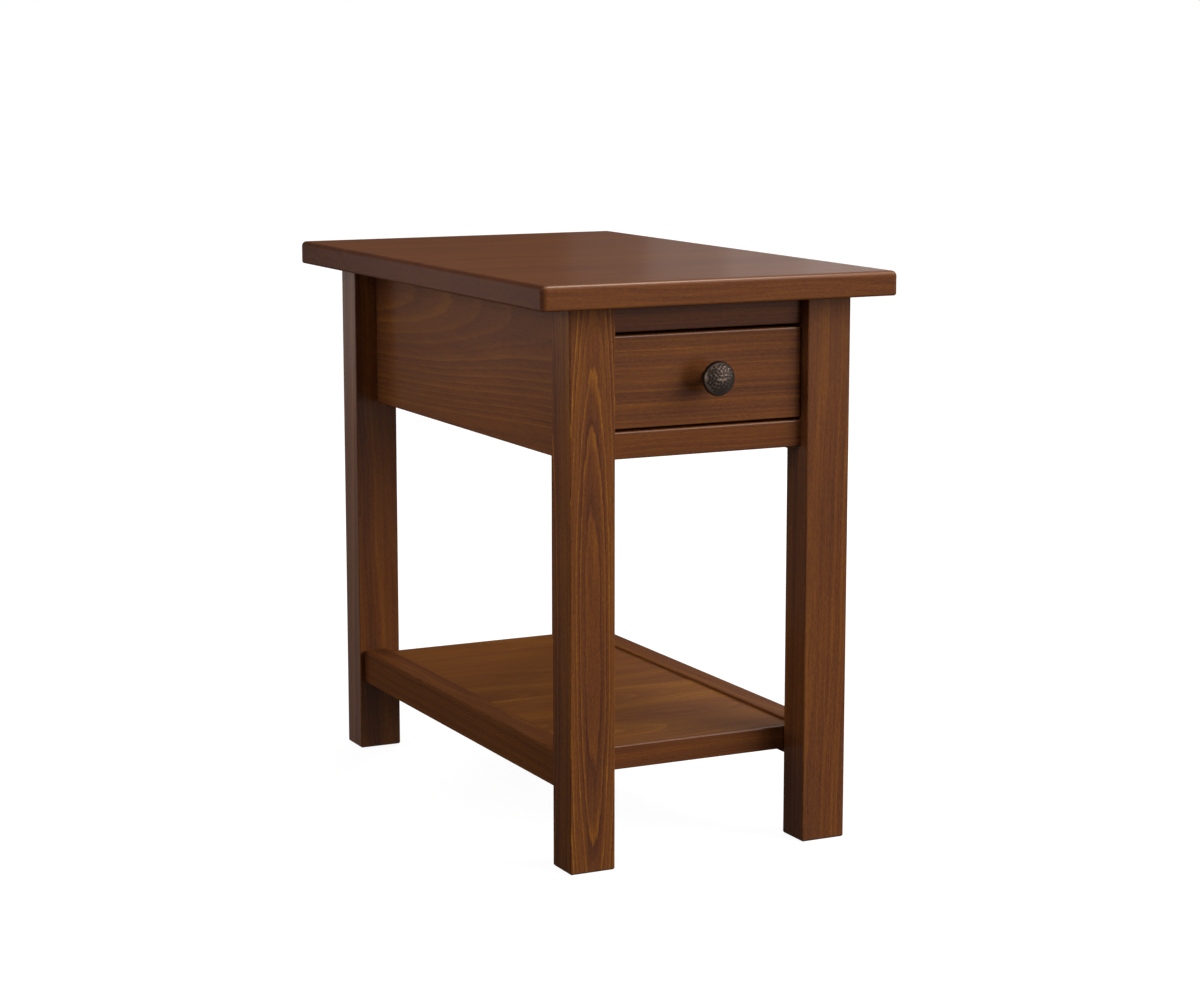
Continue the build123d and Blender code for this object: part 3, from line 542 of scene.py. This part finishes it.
def dark_bronze():
    """Nearly black bronze, darkest in the marks, and lighter on the ridges where fingers rub it. Towards the
    upper left the ridges are painted lighter still as a painted highlight, so the lower right stays darker as
    painted shade.
    """
    material, tree, place = new_material("dark_bronze")
    mark = add_node(tree, "ShaderNodeAttribute", {"attribute_name": "hammer_mark"}).outputs["Fac"]
    grime = even_noise(tree, place, 420.0, 3.0)
    cloud = even_noise(tree, place, 90.0, 2.0)
    x, y, z = add_node(tree, "ShaderNodeSeparateXYZ", None, {0: place}).outputs
    front = ramp(tree, y, knob_low.y, knob_high.y - rim_at, 1.0, 0.0)
    up_left = calc(tree, "MULTIPLY_ADD", x, -0.7, calc(tree, "SUBTRACT", z, knob_axis_z))
    # Painted highlight: the ridges are painted lighter towards the upper left, and the lower right is left
    # dark as painted shade
    painted_light_up_left = ramp(tree, up_left, -knob_radius, knob_radius * 0.9)
    colour = mix_colours(tree, ramp(tree, cloud, 0.3, 0.7), srgb(32, 26, 22), srgb(43, 35, 30))
    rubbed = calc(tree, "MULTIPLY", front, ramp(tree, mark, 0.0, 0.5, 0.9, 0.1))
    colour = mix_colours(tree, calc(tree, "MULTIPLY", rubbed, painted_light_up_left), colour, srgb(96, 80, 70))
    sunk = calc(tree, "MULTIPLY", ramp(tree, mark, 0.3, 0.9), 0.6)
    colour = mix_colours(tree, sunk, colour, srgb(26, 20, 17))
    grit = add_node(tree, "ShaderNodeBump", None, {"Strength": 0.3, "Distance": 0.0001, "Height": grime})
    metal = add_node(tree, "ShaderNodeBsdfPrincipled", None, {
        "Base Color": colour, "Metallic": 0.9, "Specular IOR Level": 0.3, "Normal": grit.outputs[0],
        "Roughness": ramp(tree, grime, 0.3, 0.7, 0.34, 0.46)})
    add_node(tree, "ShaderNodeOutputMaterial", None, {"Surface": metal.outputs[0]})
    return material


knob = bpy.data.objects.new("hammered_knob", turn_knob(knob_profile()))
bpy.context.scene.collection.objects.link(knob)
run_tree(knob, hammer_tree(dark_bronze()), {
    "Spacing": 0.0031, "Mark radius": 0.0021, "Depth": 0.0003, "Dome starts": knob_high.y - dome_at,
    "Dome radius": knob_radius * 0.88, "Axis height": knob_axis_z, "Seed": 7})
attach(knob, "drawer")
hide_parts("knob")


# ----------------------------------------------------------------------------------------------------
# Table top and shelf: boards glued edge to edge, with the grain from side to side. Each board comes
# from another part of the log, so its tone and its figure differ a little.
# ----------------------------------------------------------------------------------------------------

def glued_panel(node, board_width, first_joint, heart, ring, lines, figure, edge_figure, tone, tone_spread,
                edge_tone, seed, film, edge_film_and_highlight, edge_reach):
    """Stains a panel of boards that lie from side to side, each cut from its own stretch of the log.
    The front edge has its own figure and tone, because a planed edge takes stain unlike a sanded face."""
    low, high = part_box(node)
    material, tree, place = new_material("stained_" + node)
    x, y, z = add_node(tree, "ShaderNodeSeparateXYZ", None, {0: place}).outputs
    along = calc(tree, "DIVIDE", calc(tree, "SUBTRACT", y, first_joint), board_width)
    number_and_seed = add_node(tree, "ShaderNodeCombineXYZ", None, {0: calc(tree, "FLOOR", along), 1: seed})
    chance = add_node(tree, "ShaderNodeTexWhiteNoise", {"noise_dimensions": "2D"}, {
        "Vector": number_and_seed.outputs[0]}).outputs["Color"]
    first, second, third = add_node(tree, "ShaderNodeSeparateColor", None, {0: chance}).outputs
    within = calc(tree, "MULTIPLY", calc(tree, "SUBTRACT", calc(tree, "FRACT", along), 0.5), board_width)
    aside = calc(tree, "MULTIPLY", calc(tree, "SUBTRACT", second, 0.5), 0.06)
    board_place = add_node(tree, "ShaderNodeCombineXYZ", None, {
        0: calc(tree, "MULTIPLY_ADD", first, 3.0, x),
        1: calc(tree, "ADD", aside, within),
        2: calc(tree, "SUBTRACT", z, (low.z + high.z) / 2)})
    in_log = add_node(tree, "ShaderNodeMapping", {"vector_type": "TEXTURE"}, {
        "Vector": board_place.outputs[0], "Location": heart, "Rotation": [0, radians(90.6), 0]})
    on_edge = calc(tree, "LESS_THAN", y, low.y + 0.0008)
    wood = add_node(tree, "ShaderNodeGroup", {"node_tree": log}, {
        "Place": in_log.outputs[0], "Ring": ring, "Lines": lines, "Sway": 0.003, "Sway length": 0.3,
        "Figure": calc(tree, "MULTIPLY_ADD", on_edge, edge_figure - figure, figure), "Seed": seed})
    board_tone = calc(tree, "MULTIPLY_ADD", third, tone_spread, tone - tone_spread / 2)
    board_tone = calc(tree, "MULTIPLY_ADD", on_edge, edge_tone - tone, board_tone)
    stain_wood(material, tree, place, wood, low, high, "x", board_tone, film, edge_film_and_highlight,
               relief=0.00015, edge_reach=edge_reach)
    put_on(node, material)


glued_panel("table_top", board_width=0.075, first_joint=-0.338, heart=(0, 0, -0.05), ring=0.006, lines=0.3,
            figure=0.25, edge_figure=0.6, tone=0.5, tone_spread=0.04, edge_tone=0.49, seed=2.3, film=0.035,
            edge_film_and_highlight=0.9, edge_reach=0.004)
# The shelf panel's high tone paints its face lighter than its stain, as painted light that makes up for the
# shade under the top; its front edge keeps the usual tone
glued_panel("shelf_panel", board_width=0.078, first_joint=-0.26, heart=(0, 0, -0.06), ring=0.003, lines=0.4,
            figure=0.42, edge_figure=0.42, tone=0.66, tone_spread=0.1, edge_tone=0.47, seed=5.9, film=0.012,
            edge_film_and_highlight=0.5, edge_reach=0.0016)
for side, seed in (("left", 1.8), ("right", 3.9)):
    stained_board(side + "_shelf_rail", "y", heart=(0.02, 0, -0.08), tilt=(0.6, 0, 0), ring=0.0035,
                  figure=0.5, tone=0.52, seed=seed, film=0.01)


# ----------------------------------------------------------------------------------------------------
# Drawer box: sides, front and back of pale pine, dovetailed at the corners and clear-lacquered, round a
# plywood bottom that is let into grooves.
# ----------------------------------------------------------------------------------------------------

PALE_PINE = (
    (0.0, (150, 104, 58)),
    (0.3, (184, 138, 86)),
    (0.5, (203, 160, 108)),
    (0.7, (214, 175, 124)),
    (1.0, (228, 196, 150)),
)


def pale_board(node, grain, heart, shades, tilt=(0, 0, 0), ring=0.0035, lines=0.8, figure=0.8, tone=0.5,
               seed=0.0, film=0.12, saw_marks=0.0):
    """A board of unstained wood, darker at its ends, with saw marks across it where it was left as sawn."""
    low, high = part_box(node)
    material, tree, place = new_material("pale_" + node)
    in_log = add_node(tree, "ShaderNodeMapping", {"vector_type": "TEXTURE"}, {
        "Vector": place, "Location": (low + high) / 2 + Vector(heart),
        "Rotation": [radians(turn + lean) for turn, lean in zip(ALONG_GRAIN[grain], tilt)]})
    wood = add_node(tree, "ShaderNodeGroup", {"node_tree": log}, {
        "Place": in_log.outputs[0], "Ring": ring, "Lines": lines, "Figure": figure, "Seed": seed})
    z = add_node(tree, "ShaderNodeSeparateXYZ", None, {0: in_log.outputs[0]}).outputs[2]
    sawn = add_node(tree, "ShaderNodeTexNoise", {"noise_dimensions": "1D"}, {
        "W": calc(tree, "MULTIPLY_ADD", z, 700.0, seed), "Scale": 1.0, "Detail": 2.0}).outputs[0]
    ends = at_ends(tree, place, low, high, grain, reach=0.0008)
    sum_tone = calc(tree, "MULTIPLY_ADD", ends, -0.3, calc(tree, "ADD", wood.outputs["Open"], tone))
    sum_tone = calc(tree, "MULTIPLY_ADD", calc(tree, "SUBTRACT", sawn, 0.5), saw_marks * 0.3, sum_tone)
    height = calc(tree, "MULTIPLY_ADD", sawn, saw_marks, wood.outputs["Height"])
    colour = colour_by(tree, sum_tone, shades)
    finish_wood(material, colour, height, relief=0.0003, film=film)
    put_on(node, material)


for side, seed in (("left", 12.1), ("right", 14.6)):
    out = -1 if side == "left" else 1
    pale_board(side + "_drawer_side", "y", heart=(-out * 0.05, 0, 0.02), shades=PALE_PINE,
               tilt=(0.5, 0, -out * 1.6), seed=seed)
pale_board("drawer_box_front", "x", heart=(0, 0.05, 0.02), shades=PALE_PINE, tilt=(1.2, 0.7, 0), seed=16.2)
pale_board("drawer_box_back", "x", heart=(0, -0.05, -0.02), shades=PALE_PINE, tilt=(-1.2, -0.7, 0), seed=17.8)


def plywood(node, plies=5):
    """Rotary-cut veneers: wide soft flames on the faces, and light and dark plies on the edges."""
    low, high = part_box(node)
    material, tree, place = new_material("birch_plywood")
    z = add_node(tree, "ShaderNodeSeparateXYZ", None, {0: place}).outputs[2]
    plies_up = calc(tree, "MULTIPLY", calc(tree, "SUBTRACT", z, low.z), plies / (high.z - low.z))
    ply = calc(tree, "FLOOR", plies_up)
    crossed = calc(tree, "GREATER_THAN", calc(tree, "FLOORED_MODULO", ply, 2.0), 0.5)
    flames = add_node(tree, "ShaderNodeTexNoise", None, {
        "Vector": add_node(tree, "ShaderNodeMapping", None, {
            "Vector": place, "Scale": (26.0, 3.0, 26.0)}).outputs[0],
        "Scale": 1.0, "Detail": 3.0, "Distortion": 0.6}).outputs[0]
    rings = calc(tree, "FRACT", calc(tree, "MULTIPLY", flames, 9.0))
    fibres = add_node(tree, "ShaderNodeTexNoise", None, {
        "Vector": add_node(tree, "ShaderNodeMapping", None, {
            "Vector": place, "Scale": (1500.0, 60.0, 1500.0)}).outputs[0],
        "Scale": 1.0, "Detail": 2.0}).outputs[0]
    tone = calc(tree, "MULTIPLY_ADD", calc(tree, "SUBTRACT", rings, 0.5), 0.18, 0.55)
    tone = calc(tree, "MULTIPLY_ADD", calc(tree, "SUBTRACT", fibres, 0.5), 0.5, tone)
    tone = calc(tree, "MULTIPLY_ADD", crossed, -0.35, tone)
    colour = colour_by(tree, tone, (
        (0.0, (150, 108, 66)), (0.5, (206, 172, 124)), (1.0, (226, 202, 162))))
    finish_wood(material, colour, fibres, relief=0.0001, film=0.1)
    put_on(node, material)


plywood("drawer_bottom")


# ----------------------------------------------------------------------------------------------------
# Corner blocks and cleats: sawn pine, left bare, because nobody sees them. The dowels of the shelf are
# turned beech.
# ----------------------------------------------------------------------------------------------------

SAWN_PINE = (
    (0.0, (158, 106, 56)),
    (0.35, (196, 148, 92)),
    (0.6, (214, 174, 118)),
    (1.0, (232, 204, 158)),
)
block_seed = 20.3
for side in ("left", "right"):
    for end in ("front", "back"):
        block_seed += 1.7
        pale_board(f"{side}_{end}_corner_block", "z", heart=(0.03, 0.02, 0), shades=SAWN_PINE, ring=0.004,
                   lines=1.0, figure=1.0, seed=block_seed, film=0.0, saw_marks=1.0)
    block_seed += 1.7
    pale_board(side + "_top_cleat", "y", heart=(0.02, 0, 0.03), shades=SAWN_PINE, ring=0.004,
               lines=1.0, figure=1.0, seed=block_seed, film=0.0, saw_marks=1.0)
BEECH = (
    (0.0, (152, 98, 62)),
    (0.4, (196, 146, 104)),
    (0.7, (212, 166, 124)),
    (1.0, (226, 188, 148)),
)
pale_board("shelf_dowels", "x", heart=(0, 0.02, 0.02), shades=BEECH, ring=0.003, seed=31.4, film=0.0)


# ----------------------------------------------------------------------------------------------------
# Drawer slides: rolled from sheet steel and enamelled brown, with a nylon roller riveted to each. The
# enamel has a fine orange peel, and is worn to the steel where the rollers run.
# ----------------------------------------------------------------------------------------------------

def brown_enamel():
    material, tree, place = new_material("brown_enamel")
    peel = even_noise(tree, place, 650.0, 2.0)
    cloud = even_noise(tree, place, 30.0, 3.0)
    dust = even_noise(tree, place, 1600.0, 1.0)
    drawn_out = add_node(tree, "ShaderNodeMapping", None, {"Vector": place, "Scale": (900.0, 14.0, 900.0)})
    scuffed = ramp(tree, even_noise(tree, drawn_out.outputs[0], 1.0, 2.0), 0.66, 0.74)
    dusty = calc(tree, "MULTIPLY", ramp(tree, dust, 0.6, 0.75), 0.25)
    colour = mix_colours(tree, ramp(tree, cloud, 0.3, 0.7), srgb(86, 66, 50), srgb(98, 76, 58))
    colour = mix_colours(tree, dusty, colour, srgb(140, 124, 106))
    colour = mix_colours(tree, calc(tree, "MULTIPLY", scuffed, 0.4), colour, srgb(128, 116, 104))
    bump = add_node(tree, "ShaderNodeBump", None, {"Strength": 0.25, "Distance": 0.0002, "Height": peel})
    skin = add_node(tree, "ShaderNodeBsdfPrincipled", None, {
        "Base Color": colour, "Normal": bump.outputs[0], "Specular IOR Level": 0.4,
        "Roughness": ramp(tree, peel, 0.3, 0.7, 0.3, 0.42)})
    add_node(tree, "ShaderNodeOutputMaterial", None, {"Surface": skin.outputs[0]})
    return material


def moulded_nylon():
    material, tree, place = new_material("moulded_nylon")
    cloud = even_noise(tree, place, 140.0, 3.0)
    grain = even_noise(tree, place, 2600.0, 1.0)
    colour = mix_colours(tree, ramp(tree, cloud, 0.3, 0.7), srgb(208, 203, 190), srgb(226, 222, 211))
    bump = add_node(tree, "ShaderNodeBump", None, {"Strength": 0.2, "Distance": 0.0001, "Height": grain})
    nylon = add_node(tree, "ShaderNodeBsdfPrincipled", None, {
        "Base Color": colour, "Normal": bump.outputs[0], "Specular IOR Level": 0.4,
        "Roughness": ramp(tree, grain, 0.3, 0.7, 0.4, 0.5)})
    add_node(tree, "ShaderNodeOutputMaterial", None, {"Surface": nylon.outputs[0]})
    return material


def zinc_plate():
    """Bright zinc on steel, with a faint yellow cast in places and fine marks from the tumbling."""
    material, tree, place = new_material("zinc_plate")
    cloud = even_noise(tree, place, 260.0, 3.0)
    marks = even_noise(tree, place, 2200.0, 2.0)
    colour = mix_colours(tree, ramp(tree, cloud, 0.35, 0.65), srgb(186, 188, 190), srgb(204, 200, 184))
    bump = add_node(tree, "ShaderNodeBump", None, {"Strength": 0.2, "Distance": 0.00005, "Height": marks})
    metal = add_node(tree, "ShaderNodeBsdfPrincipled", None, {
        "Base Color": colour, "Metallic": 1.0, "Normal": bump.outputs[0],
        "Roughness": ramp(tree, marks, 0.3, 0.7, 0.26, 0.42)})
    add_node(tree, "ShaderNodeOutputMaterial", None, {"Surface": metal.outputs[0]})
    return material


enamel = brown_enamel()
nylon = moulded_nylon()
zinc = zinc_plate()
for side in ("left", "right"):
    for carrier in ("frame", "drawer"):
        put_on(f"{side}_{carrier}_slide", enamel)
        put_on(f"{side}_{carrier}_roller", nylon)
put_on("frame_roller_pins", zinc)
put_on("drawer_roller_pins", zinc)


# ----------------------------------------------------------------------------------------------------
# Screws: zinc-plated wood screws, threaded, with cross recesses in heads that are countersunk in the
# slides and round elsewhere. Each stands turned at random, as a screwdriver leaves it.
# ----------------------------------------------------------------------------------------------------

def separate_solids(mesh):
    """The points of each closed solid in a mesh."""
    built = bmesh.new()
    built.from_mesh(mesh)
    bmesh.ops.remove_doubles(built, verts=built.verts, dist=1e-6)
    waiting = set(built.verts)
    found = []
    while waiting:
        reached = [waiting.pop()]
        solid = []
        while reached:
            vertex = reached.pop()
            solid.append(vertex.co.copy())
            for edge in vertex.link_edges:
                other = edge.other_vert(vertex)
                if other in waiting:
                    waiting.remove(other)
                    reached.append(other)
        found.append(solid)
    built.free()
    return found


def measure_screw(points):
    """Reads a CAD screw: the top of its head, which way it points, and its sizes to 0.01 mm. Finer
    differences are rounding errors, and made the booleans give another mesh on each run."""
    low = Vector([min(point[i] for point in points) for i in range(3)])
    high = Vector([max(point[i] for point in points) for i in range(3)])
    axis = max(range(3), key=lambda i: high[i] - low[i])
    middle = (low + high) / 2

    def reach(point):
        return (point - middle - Vector([(point - middle)[i] if i == axis else 0 for i in range(3)])).length

    wide = max(reach(point) for point in points)
    head = [point[axis] for point in points if reach(point) > wide * 0.99]
    at_low = abs(head[0] - low[axis]) < abs(head[0] - high[axis])
    way = Vector([(1 if at_low else -1) if i == axis else 0 for i in range(3)])
    top = middle.copy()
    top[axis] = low[axis] if at_low else high[axis]
    half = (high[axis] - low[axis]) / 2
    thin = max(reach(point) for point in points if (point - middle).dot(way) > 0)
    seat = max((point - top).dot(way) for point in points if reach(point) > wide * 0.99)
    return {"top": top, "way": way, "length": round(2 * half, 5), "head": round(wide, 5),
            "shank": round(thin, 5), "seat": round(seat, 5)}


def node_of(tree, kind, settings=None, feeds=None):
    return add_node(tree, kind, settings, feeds).outputs[0]


def screw_tree(name, countersunk, finish):
    """Makes one screw from its sizes and puts it on each point, along the point's way."""
    tree = bpy.data.node_groups.new(name, "GeometryNodeTree")
    tree.interface.new_socket("Geometry", in_out="INPUT", socket_type="NodeSocketGeometry")
    for size, usual in (("Length", 0.025), ("Head radius", 0.004), ("Head height", 0.0024),
                        ("Shank radius", 0.002), ("Thread pitch", 0.0018)):
        tree.interface.new_socket(size, in_out="INPUT", socket_type="NodeSocketFloat").default_value = usual
    tree.interface.new_socket("Seed", in_out="INPUT", socket_type="NodeSocketInt").default_value = 1
    tree.interface.new_socket("Geometry", in_out="OUTPUT", socket_type="NodeSocketGeometry")
    given = tree.nodes.new("NodeGroupInput").outputs
    head, height, shank = given["Head radius"], given["Head height"], given["Shank radius"]

    def scaled(value, share):
        return calc(tree, "MULTIPLY", value, share)

    def lifted(geometry, z, turn=(0, 0, 0), scale=(1, 1, 1)):
        place = node_of(tree, "ShaderNodeCombineXYZ", None, {2: z})
        return node_of(tree, "GeometryNodeTransform", None, {
            "Geometry": geometry, "Translation": place, "Rotation": turn, "Scale": scale})

    # The head's top is at z = 0 and the screw points down. Known fault: the finished meshes lack the
    # round heads of 4 mm radius, most likely through the booleans below. Those of 3 mm come through
    if countersunk:
        head_body = lifted(node_of(tree, "GeometryNodeMeshCone", None, {
            "Vertices": 40, "Radius Top": head, "Radius Bottom": shank, "Depth": height}),
            scaled(height, -1.0))
    else:
        ball = node_of(tree, "GeometryNodeMeshUVSphere", None, {"Segments": 40, "Rings": 20, "Radius": 1.0})
        squash = node_of(tree, "ShaderNodeCombineXYZ", None, {0: head, 1: head, 2: height})
        dome = node_of(tree, "GeometryNodeTransform", None, {"Geometry": ball, "Scale": squash})
        below = lifted(node_of(tree, "GeometryNodeMeshCube", None, {"Size": (0.1, 0.1, 0.1)}), -0.05)
        cut_dome = add_node(tree, "GeometryNodeMeshBoolean", {"operation": "DIFFERENCE"}, {"Mesh 1": dome})
        tree.links.new(below, cut_dome.inputs["Mesh 2"])
        head_body = lifted(cut_dome.outputs[0], scaled(height, -1.0))
    slot_size = node_of(tree, "ShaderNodeCombineXYZ", None, {
        0: scaled(head, 1.15), 1: scaled(head, 0.24), 2: scaled(height, 1.1)})
    slot = node_of(tree, "GeometryNodeMeshCube", None, {"Size": slot_size})
    slots = add_node(tree, "GeometryNodeMeshBoolean", {"operation": "UNION"})
    tree.links.new(slot, slots.inputs["Mesh 2"])
    tree.links.new(lifted(slot, 0.0, (0, 0, pi / 2)), slots.inputs["Mesh 2"])
    recess = add_node(tree, "GeometryNodeMeshBoolean", {"operation": "DIFFERENCE"}, {"Mesh 1": head_body})
    tree.links.new(slots.outputs[0], recess.inputs["Mesh 2"])

    # A core with a point, and the thread wound round it up to the plain neck
    core = scaled(shank, 0.72)
    point = scaled(shank, 1.6)
    below_head = calc(tree, "SUBTRACT", calc(tree, "SUBTRACT", given["Length"], height), point)
    neck_length = scaled(below_head, 0.28)
    thread_length = calc(tree, "SUBTRACT", below_head, neck_length)
    neck = lifted(node_of(tree, "GeometryNodeMeshCylinder", None, {
        "Vertices": 20, "Radius": scaled(shank, 0.96), "Depth": neck_length}),
        calc(tree, "SUBTRACT", scaled(height, -1.0), scaled(neck_length, 0.5)))
    shaft = lifted(node_of(tree, "GeometryNodeMeshCylinder", None, {
        "Vertices": 16, "Radius": core, "Depth": below_head}),
        calc(tree, "SUBTRACT", scaled(height, -1.0), scaled(below_head, 0.5)))
    tip = lifted(node_of(tree, "GeometryNodeMeshCone", None, {
        "Vertices": 16, "Radius Top": core, "Radius Bottom": scaled(core, 0.06), "Depth": point}),
        scaled(given["Length"], -1.0))
    winding = node_of(tree, "GeometryNodeCurveSpiral", None, {
        "Resolution": 14, "Rotations": calc(tree, "DIVIDE", thread_length, given["Thread pitch"]),
        "Start Radius": core, "End Radius": core, "Height": thread_length})
    ridge = node_of(tree, "GeometryNodeCurvePrimitiveCircle", None, {
        "Resolution": 3, "Radius": scaled(shank, 0.26)})
    thread = lifted(node_of(tree, "GeometryNodeCurveToMesh", None, {
        "Curve": winding, "Profile Curve": ridge, "Fill Caps": True}),
        calc(tree, "SUBTRACT", point, given["Length"]))
    screw = add_node(tree, "GeometryNodeJoinGeometry")
    for part in (recess.outputs[0], neck, shaft, tip, thread):
        tree.links.new(part, screw.inputs[0])

    way = node_of(tree, "GeometryNodeInputNamedAttribute", {"data_type": "FLOAT_VECTOR"}, {"Name": "way"})
    facing = node_of(tree, "FunctionNodeAlignRotationToVector", {"axis": "Z"}, {
        "Vector": node_of(tree, "ShaderNodeVectorMath", {"operation": "SCALE"}, {0: way, "Scale": -1.0})})
    turn = add_node(tree, "FunctionNodeRandomValue", {"data_type": "FLOAT"}, {"Seed": given["Seed"]})
    turn.inputs[2].default_value, turn.inputs[3].default_value = 0.0, 2 * pi
    spun = node_of(tree, "FunctionNodeRotateRotation", {"rotation_space": "LOCAL"}, {
        "Rotation": facing, "Rotate By": node_of(tree, "ShaderNodeCombineXYZ", None, {2: turn.outputs[1]})})
    placed = node_of(tree, "GeometryNodeInstanceOnPoints", None, {
        "Points": given["Geometry"], "Instance": screw.outputs[0], "Rotation": spun})
    real = node_of(tree, "GeometryNodeRealizeInstances", None, {0: placed})
    coated = node_of(tree, "GeometryNodeSetMaterial", None, {"Geometry": real, "Material": finish})
    end = tree.nodes.new("NodeGroupOutput")
    tree.links.new(coated, end.inputs[0])
    return tree


def drive_screws(node, body, tree, pitch, seed):
    """Makes the screws of one CAD node, where its solids are. They are all as large as the first."""
    found = [measure_screw(points) for points in separate_solids(pieces[node].data)]
    found.sort(key=lambda screw: [round(value, 5) for value in screw["top"]])
    mesh = bpy.data.meshes.new("cross_head_" + node)
    mesh.from_pydata([screw["top"] for screw in found], [], [])
    ways = mesh.attributes.new("way", "FLOAT_VECTOR", "POINT")
    for number, screw in enumerate(found):
        ways.data[number].vector = screw["way"]
    made = bpy.data.objects.new("cross_head_" + node, mesh)
    bpy.context.scene.collection.objects.link(made)
    size = found[0]
    seat = size["seat"] if size["seat"] > 1e-4 else size["head"] - size["shank"]
    run_tree(made, tree, {
        "Length": size["length"], "Head radius": size["head"], "Head height": seat,
        "Shank radius": size["shank"], "Thread pitch": pitch, "Seed": seed})
    made.data.set_sharp_from_angle(angle=radians(35))
    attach(made, body)
    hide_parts(node)


round_head = screw_tree("round_head_screw", countersunk=False, finish=zinc)
flat_head = screw_tree("flat_head_screw", countersunk=True, finish=zinc)
drive_screws("table_top_screws", "frame", round_head, pitch=0.0018, seed=3)
drive_screws("corner_block_screws", "frame", round_head, pitch=0.0018, seed=5)
drive_screws("top_cleat_screws", "frame", round_head, pitch=0.0018, seed=8)
drive_screws("frame_slide_screws", "frame", flat_head, pitch=0.0015, seed=13)
drive_screws("drawer_slide_screws", "drawer", flat_head, pitch=0.0015, seed=21)
drive_screws("drawer_front_screws", "drawer", round_head, pitch=0.0018, seed=34)
drive_screws("drawer_bottom_screws", "drawer", round_head, pitch=0.0013, seed=55)
drive_screws("knob_screw", "drawer", round_head, pitch=0.0007, seed=89)
